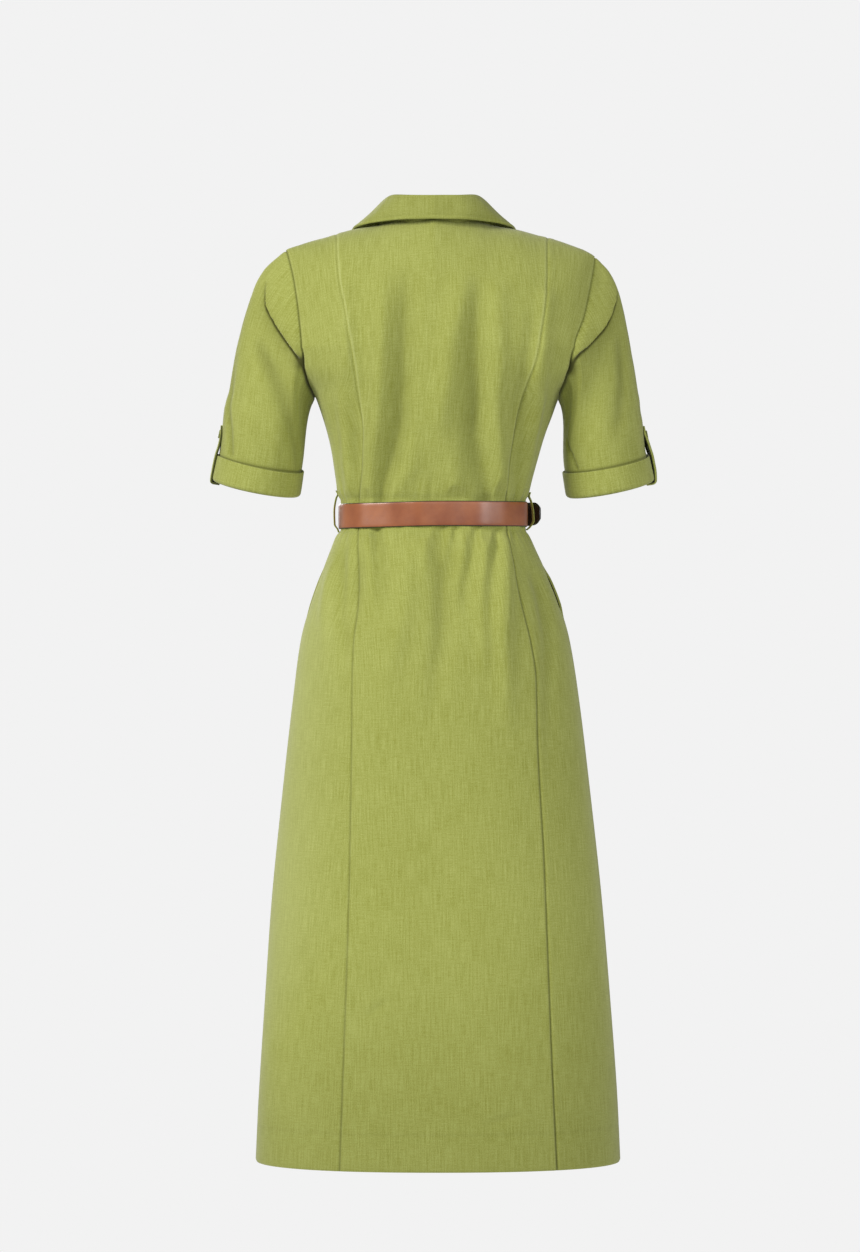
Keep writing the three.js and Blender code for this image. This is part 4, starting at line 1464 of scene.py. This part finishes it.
# %% Pocket bags
def pocket_bag(name, sign):
    v = np.linspace(-640, -432, 60)[:, None] + np.zeros(34)
    share = np.linspace(0.02, 0.46, 34)[None] + 0 * v
    low = ease(v, -640, -612)
    share = 0.02 + (share - 0.02) * (0.55 + 0.45 * np.sqrt(np.clip(low, 0, 1)))
    side_seam = around(sign * BAND, v)
    u = mix(sign, side_seam, share)
    base = form(1, u, v)
    out = outward(1, u, v)
    sag = -0.7 * np.sin(share * 17) * ease(v, -640, -560) - 0.6
    fade = 1 - ease(np.abs(u), 0.86, 0.99)
    outer = base + out * (sag - 2.6 + lift_of(1, base.reshape(-1, 3)).reshape(v.shape) * fade)[..., None]
    sew(f"pocket_bag_{name}", f"pocket_{name}", base, outer, outer - out * 1.2,
        offset=(5000, sign * 100))


pocket_bag("left", -1)
pocket_bag("right", 1)

# %% [markdown]
# ## Collar
# The collar is a stand that rises from the neck edge and a fall that turns over it and down. Their join is
# inside the roll. The roll is a soft half round, not a crease. A flat collar shape could be folded by a
# simulation, but its points then land anywhere. So the fall is drawn in section from the roll line down to its
# edge, and is swept round the neck. The front ends aren't seen, and are plain points.

# %% Lines of the collar
COLLAR = lines_of("""
at rollX rollY rollZ edgeX edgeY edgeZ
0 0 -58 37 0 -73 8.5
0.16 28 -54 37.5 42 -69 8
0.3 50 -36 39.5 82 -46 5.5
0.42 57 -6 38 100 -6 4.5
0.58 57 32 22 106 40 -8
0.8 44 68 -14 98 88 -52
1 20 96 -62 74 113 -100
""")
SIDE_NECK = 0.4


def collar_line(which, share):
    t, sign = np.abs(share), np.sign(share)
    return vec(sign * COLLAR[which + "X"](t), COLLAR[which + "Y"](t), COLLAR[which + "Z"](t))


def on_neck(share):
    t = np.abs(share)
    at_back = t < SIDE_NECK
    reach = np.where(at_back, t / SIDE_NECK, (1 - t) / (1 - SIDE_NECK))
    x = mix(np.where(at_back, 0, BAND + 2), 74, np.sin(reach * np.pi / 2))
    v = np.minimum(TOP, CHEST + ARC * np.where(at_back, NECK["back"](x), NECK["front"](x)))
    u = around(np.where(share < 0, -1, 1) * x, v)
    pick = at_back[..., None]
    return np.where(pick, form(-1, u, v), form(1, u, v)), np.where(pick, outward(-1, u, v), outward(1, u, v))


def neck_edge(share):
    at, out = on_neck(share)
    along = on_neck(np.minimum(1, share + 0.004))[0] - on_neck(np.maximum(-1, share - 0.004))[0]
    away = unit(np.cross(along, out))
    front = np.abs(share) >= SIDE_NECK
    hint = vec(-at[..., 0], 0, np.where(front, 60, 90))
    away *= np.where((away * hint).sum(-1) < 0, -1, 1)[..., None]
    return at + away * np.where(front, 2.4, 1.55)[..., None] - out * 0.3


print("back of the neck edge, mm:", neck_edge(np.array([0.0]))[0].round(1))


# %% Collar stand and fall
def normal_grid(grid, inside):
    normal = unit(np.cross(np.gradient(grid, axis=1), np.gradient(grid, axis=0)))
    return normal * np.sign((normal * (grid - inside)).sum())


# Painted shade over the whole fall of the collar.
COLLAR_SHADE = 0.17  # drawn in too


def make_collar():
    share = np.concatenate([np.linspace(-1, -0.985, 4), np.linspace(-0.975, 0.975, 190), np.linspace(0.985, 1, 4)])
    rise = np.linspace(0, 1, 16)
    s, b = np.meshgrid(share, rise)
    low, roll = neck_edge(share), collar_line("roll", share)
    stand = low + (roll - (0, 0, 3.4) - low) * b[..., None]
    stand_out = normal_grid(stand, vec(stand[..., 0] / 3, 15, stand[..., 2]))
    # Its seam allowance turns down inside the neck.
    allowance = stand[:1] - stand_out[:1] * 2.2 - unit(stand[3:4] - stand[:1]) * 6
    stand = np.concatenate([allowance, stand])
    stand_out = np.concatenate([stand_out[:1], stand_out])
    b = np.concatenate([b[:1], b])
    stand = stand + stand_out * (0.8 * np.sin(np.pi * b))[..., None]
    sew("collar_stand_band", "collar_stand", stand, stand + stand_out * 0.2, stand - stand_out * 1.7,
        offset=(6000, 0))

    b = np.concatenate([np.linspace(0, 0.12, 12), np.linspace(0.14, 0.955, 26), [0.968, 0.98, 0.99, 0.997, 1]])
    s, b = np.meshgrid(share, b)
    edge = collar_line("edge", share)
    fall = mix(roll, edge, b[..., None])
    fall[..., 2] += 5 * np.sin(np.pi * np.sqrt(b)) * (1 - b)
    # Its edge is pressed down to the back.
    fall[..., 1] += b**3 * (7 * (1 - ease(np.abs(s), 0.3, 0.5)) + 9 * bell(np.abs(s) - 0.26, 0.1))
    fall_out = normal_grid(fall, fall - (0, 0, 50))
    width = np.linalg.norm(edge - roll, axis=-1)[None] * (1 - b)
    along = np.append(0, np.cumsum(np.linalg.norm(np.diff(edge, axis=0), axis=1)))[None] + 0 * b
    lift = stitch_rows(width - 5.5, along) - 0.55 * bell(width, 0.8)
    lift += 0.9 * np.sin(s * 7 + 0.4) * np.sin(np.pi * b) * ease(np.abs(s), 0.1, 0.4)
    lift += 0.35 * np.sin(s * 23 + b * 3) * b * (1 - b) * 4
    # Pressed folds where the collar bends at the side of the neck.
    for place, depth in ((-0.3, -0.9), (0.3, -0.9), (-0.37, -0.5), (0.36, -0.6)):
        lift += depth * bell(s - place - 0.05 * b, 0.02) * ease(b, 0.02, 0.2) * (1 - ease(b, 0.45, 0.8))
    outer = fall + fall_out * lift[..., None]
    # The fall takes painted shade all over, and a painted highlight a few mm in from its edge.
    sew("collar_fall_turned", "collar_fall", fall, outer, outer - fall_out * 1.9,
        offset=(7000, 0),
        crease=COLLAR_SHADE - 0.1 * bell(width - 3, 2) + 0 * b)


make_collar()

# %% [markdown]
# ## Belt leather, brass and buttons
# The belt is smooth cowhide with a dyed and waxed grain side, tan brown, and a black flesh side and edges. Wax
# gives it a soft gloss that varies from place to place, and its colour goes from orange brown where the light
# is warm to a dull pink brown. The grain's pores are about 0.3 mm, too fine for the render, so they are drawn
# 0.9 mm apart and only roughen the gloss.

# %% Leather
CLOUDS, PORES, NAP = 26.0, 1100.0, 240.0  # to the metre: clouds of dye 38 mm apart, pores 0.9 mm, nap 4 mm


def waxed_leather(name, dark, light, roughness):
    made, tree = material(name)
    place = node(tree, "TexCoord").outputs["Object"]
    cloudy = node(tree, "TexNoise", inputs={"Vector": place, "Scale": CLOUDS, "Detail": 3.0, "Roughness": 0.55})
    cloudy = cloudy.outputs["Fac"]
    spread = node(tree, "MapRange", inputs={"Value": cloudy, "From Min": 0.34, "From Max": 0.66})
    ends = {"Factor": spread.outputs["Result"], COLOUR_A: linear(dark), COLOUR_B: linear(light)}
    colour = node(tree, "Mix", {"data_type": "RGBA"}, ends)
    pores = node(tree, "TexVoronoi", inputs={"Vector": place, "Scale": PORES}).outputs["Distance"]
    nap = node(tree, "TexNoise", inputs={"Vector": place, "Scale": NAP, "Detail": 2.0}).outputs["Fac"]
    both = node(tree, "Math", {"operation": "ADD"}, {0: pores, 1: nap})
    bump = node(tree, "Bump", inputs={"Strength": 0.25, "Distance": 0.0003, "Height": both.outputs[0]})
    shine = {"Value": cloudy, "To Min": roughness + 0.08, "To Max": roughness - 0.08}
    gloss = node(tree, "MapRange", inputs=shine)
    finish_material(tree, {
        "Base Color": colour.outputs[MIXED], "Roughness": gloss.outputs["Result"], "IOR": 1.5,
        "Normal": bump.outputs["Normal"], "Coat Weight": 0.9, "Coat Roughness": 0.38,
    })
    return made


LEATHER = waxed_leather("waxed_cowhide_tan", "#934f2a", "#ad673c", 0.34)
LEATHER_BACK = waxed_leather("dyed_suede_black", "#15130f", "#211e18", 0.62)
print("leather pores 0.3 mm, drawn", round(1000 / PORES, 1), "mm apart")

# %% [markdown]
# ## Brass, corozo and thread
# The prong is cast brass, polished and then dulled by wear in spots of 5 mm or so. The buttons are corozo, a
# palm nut that is turned like wood and dyed, with a close grain of fine short lines under a polish. They are
# sewn on with twisted thread, whose ply shows as fine slanting bands.

# %% Metal, button and thread
WORN_SPOTS, NUT_GRAIN, PLY = 180.0, (900, 300, 300), 900.0  # to the metre; a wave's bands are 20 times as close


def cast_brass(name):
    made, tree = material(name)
    place = node(tree, "TexCoord").outputs["Object"]
    wear = node(tree, "TexNoise", inputs={"Vector": place, "Scale": WORN_SPOTS, "Detail": 3.0})
    spread = node(tree, "MapRange", inputs={"Value": wear.outputs["Fac"], "To Min": 0.22, "To Max": 0.42})
    finish_material(tree, {"Base Color": linear("#b08d4e"), "Metallic": 1.0, "Roughness": spread.outputs["Result"]})
    return made


def corozo(name):
    made, tree = material(name)
    place = node(tree, "TexCoord").outputs["Object"]
    stretched = node(tree, "Mapping", inputs={"Vector": place, "Scale": NUT_GRAIN})
    grain = node(tree, "TexNoise", inputs={"Vector": stretched.outputs["Vector"], "Scale": 1.0, "Detail": 3.0})
    spread = node(tree, "MapRange", inputs={"Value": grain.outputs["Fac"], "From Min": 0.35, "From Max": 0.65})
    ends = {"Factor": spread.outputs["Result"], COLOUR_A: linear("#7d8442"), COLOUR_B: linear("#979d58")}
    colour = node(tree, "Mix", {"data_type": "RGBA"}, ends)
    finish_material(tree, {
        "Base Color": colour.outputs[MIXED], "Roughness": 0.33, "IOR": 1.54, "Coat Weight": 0.2,
        "Coat Roughness": 0.15,
    })
    return made


BRASS, COROZO = cast_brass("cast_brass"), corozo("turned_corozo")


def twisted_thread(name):
    made, tree = material(name)
    place = node(tree, "TexCoord").outputs["Object"]
    slanting = {"wave_type": "BANDS", "bands_direction": "DIAGONAL"}
    twist = node(tree, "TexWave", slanting, {"Vector": place, "Scale": PLY})
    bump = node(tree, "Bump", inputs={"Strength": 0.5, "Distance": 0.0002, "Height": twist.outputs["Fac"]})
    finish_material(tree, {"Base Color": linear("#8b9145"), "Roughness": 0.7, "Normal": bump.outputs["Normal"]})
    return made


THREAD = twisted_thread("twisted_thread")
print("materials:", [m.name for m in bpy.data.materials])

# %% [markdown]
# ## Buttons
# Each button is a turned disc with a raised rim, a dished middle and four holes, and a cross of thread through
# them. Holes could be cut with booleans, which leave rough edges. A round outline is spun instead, the holes are
# dimples in the spun face, and the thread is two short arches. How many there are is a guess from such a dress.

# %% Buttons
def button_axes(out):
    out = unit(np.asarray(out, float))
    side = unit(np.cross(out, (0, 0, 1.0)))
    return out, side, np.cross(side, out)


def make_button(name, node_name, at, out, radius, thick):
    out, side, up = button_axes(out)
    profile = np.array([
        (0.86, -0.5), (0.97, -0.36), (1, -0.1), (0.99, 0.2), (0.93, 0.42), (0.85, 0.5), (0.76, 0.46),
        (0.68, 0.3), (0.6, 0.22), (0.5, 0.2), (0.4, 0.2), (0.3, 0.2), (0.2, 0.2), (0.1, 0.2), (0.001, 0.2),
    ])
    turns = np.arange(48) / 48 * TAU
    r, h = profile[:, :1] * radius, np.repeat(profile[:, 1:] * thick, len(turns), 1)
    x, y = r * np.cos(turns), r * np.sin(turns)
    face = profile[:, 1:] > 0.1
    for cx in (-0.2, 0.2):
        for cy in (-0.2, 0.2):
            d = np.hypot(x - cx * radius, y - cy * radius)
            h = h - face * 0.55 * thick * (1 - ease(d, 0.07 * radius, 0.13 * radius))
    rings = at + side * x[..., None] + up * y[..., None] + out * h[..., None]
    points, faces = loft(rings)
    piece(name, points, faces, COROZO, [node_name], hard=50)
    threads = []
    for tilt in (1, -1):
        way = np.linspace(-1, 1, 11)
        line = side * (way * 0.2 * radius)[:, None] + up * (way * tilt * 0.2 * radius)[:, None]
        line = at + line + out * (thick * (0.16 + 0.16 * (1 - way**4) + 0.04 * tilt))[:, None]
        threads.append(line)
    points, faces, count = [], [], 0
    for line in threads:
        p, f = tube(line, 0.42 if radius > 6 else 0.32)
        points.append(p)
        faces += [[i + count for i in one] for one in f]
        count += len(p)
    piece(name + "_thread", np.concatenate(points), faces, THREAD, hard=60)


def tube(line, radius, around_it=8):
    ahead = unit(np.gradient(line, axis=0))
    side = unit(np.cross(ahead, ahead[len(ahead) // 2] + (0.3, 0.2, 0.91)))
    up = np.cross(side, ahead)
    turns = np.arange(around_it)[:, None] / around_it * TAU
    rings = line[:, None] + radius * (side[:, None] * np.cos(turns) + up[:, None] * np.sin(turns))
    return loft(rings)


BUTTON_HEIGHTS = (-118, -190, -262, -318, -412, -492, -572, -652, -732, -812, -892)
for count, v in enumerate(BUTTON_HEIGHTS, 1):
    u = around(np.array(0.01), np.array(float(v)))
    out = outward(1, u, float(v))
    at = form(1, u, float(v)) + out * (0.4 + 1.4)
    at += out * float(lift_of(1, form(1, u, float(v))[None])[0]) * 0.6 + out * 0.6
    make_button(f"front_button_{count}", f"button_{count}", at, out, 7.5, 2.8)
for name in SLEEVES:
    _, out, _ = sleeve_axes(name)
    make_button(f"sleeve_button_{name}", f"tab_button_{name}", round_sleeve(name, 0, 57, 5.7), out, 5.5, 1.8)
print(len(BUTTON_HEIGHTS), "front buttons 15 mm across, 2 tab buttons 11 mm")

# %% [markdown]
# ## Belt, buckle and loops
# The belt is one strap, 31 mm wide. It starts at the buckle in front, goes round the wearer's right, the back and
# the left, passes over its own start, and its free end stands off at the right, where its black back shows. It is
# drawn as a section with rounded edges swept along that way, because a curve's bevel couldn't colour its back.

# %% The strap
BELT_Z, BELT_WIDTH, BELT_LEATHER, BELT_TAIL, LAST_WAY = -356.5, 31, 2.5, 47, 4.65
BELT = lines_of("""
at turn lift off
0 -2 0 0.9
1 90 1.2 0.9
2 180 0 0.9
3 270 -1.6 0.9
3.6 324 -1 2
4 360 0 4.1
4.65 418.5 1 4.1
""")


def belt_line(share):
    """The middle of the strap's outer face, its outward direction and half its width."""
    way = np.minimum(share, LAST_WAY)
    turn = np.radians(BELT["turn"](way))
    side = np.where(np.cos(turn) < 0, -1, 1)
    u = np.arctan2(np.sin(turn), np.abs(np.cos(turn))) * 2 / np.pi
    v = np.full(u.shape, float(BELT_Z))
    out = np.where((side < 0)[..., None], outward(-1, u, v), outward(1, u, v)) * (1, 1, 0)
    out = unit(out)
    at = np.where((side < 0)[..., None], form(-1, u, v), form(1, u, v))
    at = at + out * (BELT["off"](way) + BELT_LEATHER)[..., None]
    free = np.maximum(0, share - LAST_WAY)
    at = at + vec(out[..., 1], -out[..., 0], 0) * (free * BELT_TAIL)[..., None]
    tip = np.maximum(0, (free - 0.72) / 0.28)
    narrow = 1 - 0.1 * free - 0.42 * tip**2.5
    at[..., 2] = BELT_Z + np.where(free > 0, 1 + 1.5 * free, BELT["lift"](way))
    return at, out, BELT_WIDTH / 2 * narrow


def make_belt():
    tail = LAST_WAY + np.concatenate([np.linspace(0.02, 0.9, 40), np.linspace(0.91, 1, 12)])
    share = np.concatenate([np.linspace(0, LAST_WAY, 300), tail])
    at, out, half = belt_line(share)
    way = np.append(0, np.cumsum(np.linalg.norm(np.diff(at, axis=0), axis=1)))
    # The section: the worn outer face is slightly crowned, with edges rounded off; the back is flat.
    face = [-1, -0.985, -0.94, -0.86, -0.7, -0.45, -0.2, 0, 0.2, 0.45, 0.7, 0.86, 0.94, 0.985, 1]
    across = np.array([*face, 0.985, 0.93, 0.6, 0.2, -0.2, -0.6, -0.93, -0.985])
    face = [-1.25, -0.72, -0.3, -0.1, -0.02, 0, 0.02, 0.02, 0.02, 0, -0.02, -0.1, -0.3, -0.72, -1.25]
    depth = np.array([*face, -2.05, -2.42, -2.5, -2.5, -2.5, -2.5, -2.42, -2.05])
    # It is a soft old strap: it ripples a little, droops, and cups across its width by turns.
    ripple = 0.9 * np.sin(way / 13 + 0.6) + 0.4 * np.sin(way / 6.1 + 2) + 0.3 * np.sin(way / 31)
    droop = 0.35 * np.sin(way / 44 + 1.1) + 0.2 * np.sin(way / 23)
    on_body = 1 - ease(share, LAST_WAY - 0.1, LAST_WAY + 0.1)
    centre = at - out * 0.1 + out * (ripple * on_body)[:, None] + vec(0, 0, droop * on_body)
    rings = centre[:, None] + vec(0, 0, half[:, None] * across) + out[:, None] * depth[:, None]
    cup = 0.35 * np.sin(way / 52 + 0.4)[:, None] * across**2
    rings += out[:, None] * (cup - 0.3 * on_body[:, None])[..., None] * (depth > -1)[:, None]
    points, faces = loft(rings)
    size = len(across)
    wears_of = [0 if len(f) == 4 and all(2 <= i % size <= 12 for i in f) else 1 for f in faces]
    piece("belt_strap", points, faces, [LEATHER, LEATHER_BACK], ["belt"],
          wears_of=wears_of, hard=60)
    print(f"belt: {way[-1]:.0f} mm long, {BELT_WIDTH} mm wide, {len(faces)} faces")


make_belt()

# %% [markdown]
# ## Punched holes, buckle and prong
# The holes are punched where the strap passes over its own start, five in a row. Each is a small dished ring
# that sits in the leather, because a cut through the strap wouldn't show more. The buckle is a frame covered in
# the belt's leather, and its prong is a brass wire that rests on the frame. None of them is seen, so they are
# the ordinary ones for such a belt.

# %% Holes, buckle and prong
def belt_holes():
    points, faces, count = [], [], 0
    for k in range(5):
        share = np.array([4.0 + (k - 2) * 0.18])
        at, out, _ = belt_line(share)
        out, side, up = button_axes(out[0])
        turns = np.arange(18)[:, None] / 18 * TAU
        outline = ((2.0, -0.4), (2.0, 0.12), (1.7, 0.16), (1.4, -0.1), (0.3, -0.25))
        ring = [at[0] + out * h + side * r * np.cos(turns) + up * r * np.sin(turns) for r, h in outline]
        p, f = loft(np.array(ring))
        points.append(p)
        faces += [[i + count for i in one] for one in f]
        count += len(p)
    piece("belt_holes", np.concatenate(points), faces, LEATHER_BACK, hard=60)


belt_holes()
FRONT_OF_BELT = form(1, around(np.array(0.01), float(BELT_Z)), float(BELT_Z))[1] + 4.1 + BELT_LEATHER


def rounded_box(w, h, r, count=9):
    """The outline of a rounded rectangle, anticlockwise."""
    turns = np.linspace(0, np.pi / 2, count)
    corners = []
    for k, (cx, cz) in enumerate(((w - r, h - r), (-w + r, h - r), (-w + r, -h + r), (w - r, -h + r))):
        a = turns + k * np.pi / 2
        corners.append(np.stack([cx + r * np.cos(a), cz + r * np.sin(a)], -1))
    return np.concatenate(corners)


def make_buckle():
    outer, inner = rounded_box(19, 22, 6.5), rounded_box(13, 16.5, 3.5)
    middle, wide = (outer + inner) / 2, (outer - inner) / 2
    turns = np.arange(20)[None, :] / 20 * TAU
    round_in, up = np.cos(turns), np.sin(turns)
    rings = np.empty((len(middle), 20, 3))
    rings[..., 0] = middle[:, None, 0] + wide[:, None, 0] * round_in
    rings[..., 2] = BELT_Z + middle[:, None, 1] + wide[:, None, 1] * round_in
    rings[..., 1] = FRONT_OF_BELT + 0.4 + 1.75 + 1.75 * up
    points, faces = loft(rings, closed=True)
    piece("covered_buckle", points, faces, LEATHER, ["belt_buckle"], hard=70)
    line = np.array([
        (-15.6, 2.6, 0), (-15.9, 4.2, 0), (-13.5, 5.4, 0), (-9, 5.3, 0), (0, 4.9, 0), (10, 4.8, 0), (16, 4.9, 0),
        (17.4, 4.6, 0),
    ])
    line = resample(line, 40) + (0, FRONT_OF_BELT - 0.2, BELT_Z)
    points, faces = tube(line, 1.35, 12)
    piece("brass_prong", points, faces, BRASS, ["buckle_prong"], hard=60)


make_buckle()
print("front of the belt at y =", round(float(FRONT_OF_BELT), 1), "mm")

# %% [markdown]
# ## Belt loops
# A thin loop of doubled cloth stands off each side seam and holds the belt. A thread loop would do on a finer
# dress, but these are cloth, so each is a flat rounded section swept along its own line, in the dress's linen.

# %% Belt loops
LOOPS = {
    "left": [(0.6, -326), (3.4, -330.5), (5.5, -335), (8, -352), (7.5, -368), (3.6, -374.5), (0.6, -378)],
    "right": [(0.6, -328), (4, -332.5), (6.5, -339), (9, -353), (9.5, -363), (5, -371.5), (0.6, -375)],
}
LOOP_WIDE = {"left": (5, 0.35), "right": (5, 0.6)}  # width in mm, and how far it turns to the back


def make_loop(name):
    sign = -1 if name == "left" else 1
    table = np.array(LOOPS[name], float)
    z = np.where(table[:, 0] < 1, table[:, 1], BELT_Z)
    x = sign * BODY["half"](z) + BODY["shift"](z) + sign * (table[:, 0] + 0.6)
    line = resample(vec(x, -2, table[:, 1]), 48)
    ahead = unit(np.gradient(line, axis=0))
    wide, turned = LOOP_WIDE[name]
    across = unit(np.array([turned * sign, -1, 0]))
    up = unit(np.cross(ahead, across))
    turns = np.arange(16) / 16 * TAU
    flat_side = np.sign(np.cos(turns)) * np.abs(np.cos(turns)) ** 0.5
    thick_side = np.sign(np.sin(turns)) * np.abs(np.sin(turns)) ** 0.8
    rings = line[:, None] + across * (wide / 2 * flat_side)[:, None] + up[:, None] * (0.65 * thick_side)[:, None]
    points, faces = loft(rings)
    way = np.append(0, np.cumsum(np.linalg.norm(np.diff(line, axis=0), axis=1)))
    cut = vec(wide / 2 * flat_side, way[:, None], 0)[..., :2].reshape(-1, 2) + (8000, 0)
    piece(f"belt_loop_{name}_strip", points, faces, WOVEN_LINEN, [f"belt_loop_{name}"], cut=cut)
    print(f"belt_loop_{name}: {way[-1]:.0f} mm long, {wide} mm wide, doubled")


make_loop("left")
make_loop("right")

# %% [markdown]
# ## Floor
# The photograph has an even pale ground. A sheet floor that curves up behind the dress would do, but the ground
# is brighter than any sheet lit like the cloth. So the ground is a pale world, and the floor is a painted round
# board below the dress, just outside the camera's view, that shows from other sides.

# %% Floor
PALE = "#f2f2f2"


def pale_floor():
    made, tree = material("painted_board")
    place = node(tree, "TexCoord").outputs["Object"]
    brushed = node(tree, "TexNoise", inputs={"Vector": place, "Scale": 60.0, "Detail": 3.0})  # 17 mm brush marks
    bump = node(tree, "Bump", inputs={"Strength": 0.05, "Distance": 0.001, "Height": brushed.outputs["Fac"]})
    finish_material(tree, {"Base Color": linear(PALE), "Roughness": 0.9, "Normal": bump.outputs["Normal"]})
    turns = np.arange(128) / 128 * TAU
    rim = [(1.2, -1.46), (1.2, -1.452), (1.192, -1.444), (1.18, -1.44)]
    rings = [vec(r * np.cos(turns), r * np.sin(turns), z) for r, z in rim]
    points, faces = loft(np.array(rings))
    mesh = bpy.data.meshes.new("floor_board")
    mesh.from_pydata(points.tolist(), [], faces)
    mesh.materials.append(made)
    obj = bpy.data.objects.new("floor_board", mesh)
    bpy.context.collection.objects.link(obj)
    print("floor 2.4 m across")


pale_floor()

# %% [markdown]
# ## Light
# One large soft light stands at the upper left and a weaker one at the right, as the photo's shading tells. A
# small one in the middle gives the belt its gloss, and one on the far side lights the front for other views. The
# world lights the dress less than it shows to the camera, so that the folds keep their shade.

# %% Light
def area_light(name, at, aim, size, watts, colour="#ffffff"):
    data = bpy.data.lights.new(name, "AREA")
    data.shape, data.size, data.size_y = "RECTANGLE", *size
    data.energy, data.color = watts, linear(colour)[:3]
    obj = bpy.data.objects.new(name, data)
    bpy.context.collection.objects.link(obj)
    obj.location = at
    obj.rotation_euler = (Vector(aim) - Vector(at)).to_track_quat("-Z", "Y").to_euler()
    return obj


area_light("key_light", (-2.75, -2.2, 1.4), (0, 0, -0.25), (1.3, 1.8), 118, "#fffdf8")
area_light("fill_light", (2.8, -2.8, 0.4), (0, 0, -0.45), (2.0, 2.0), 56)
area_light("middle_light", (0.5, -5.0, 0.9), (0, 0, -0.35), (0.7, 0.5), 13)
area_light("far_side_light", (-1.6, 3.4, 0.9), (0, 0, -0.5), (1.8, 1.8), 60)


def pale_world():
    world = bpy.data.worlds.new("pale_studio")
    bpy.context.scene.world = world
    world.use_nodes = True
    tree = world.node_tree
    tree.nodes.clear()
    seen = node(tree, "LightPath").outputs["Is Camera Ray"]
    shows = node(tree, "Background", inputs={"Color": linear(PALE), "Strength": 1.0})
    lights = node(tree, "Background", inputs={"Color": linear("#fbfbff"), "Strength": 0.27})
    both = node(tree, "MixShader", inputs={"Fac": seen, 1: lights.outputs[0], 2: shows.outputs[0]})
    node(tree, "OutputWorld", inputs={"Surface": both.outputs[0]})


pale_world()
bpy.context.scene.view_settings.view_transform = "Standard"

# %% [markdown]
# ## Camera
# The photo looks level at the back from about 6 m. A long lens from there keeps the hem and the shoulders as
# flat as they are in it. Its length follows from the photo's height: 1252 pixels of 1.25 mm at the dress.

# %% The camera
FAR, PHOTO_TALL, PIXEL, SENSOR = 6000, 1252, 1.25, 36  # mm, pixels, mm a pixel at the dress, mm
camera = bpy.data.objects.new("camera", bpy.data.cameras.new("camera"))
bpy.context.collection.objects.link(camera)
camera.location = (-0.005, -FAR * MM, -0.495)
camera.rotation_euler = (math.radians(90), 0, 0)
camera.data.sensor_fit = "VERTICAL"
camera.data.sensor_height = camera.data.sensor_width = SENSOR
camera.data.lens = SENSOR * FAR / (PHOTO_TALL * PIXEL)
bpy.context.scene.camera = camera
print("camera 6 m behind the dress, lens", round(camera.data.lens, 1), "mm")
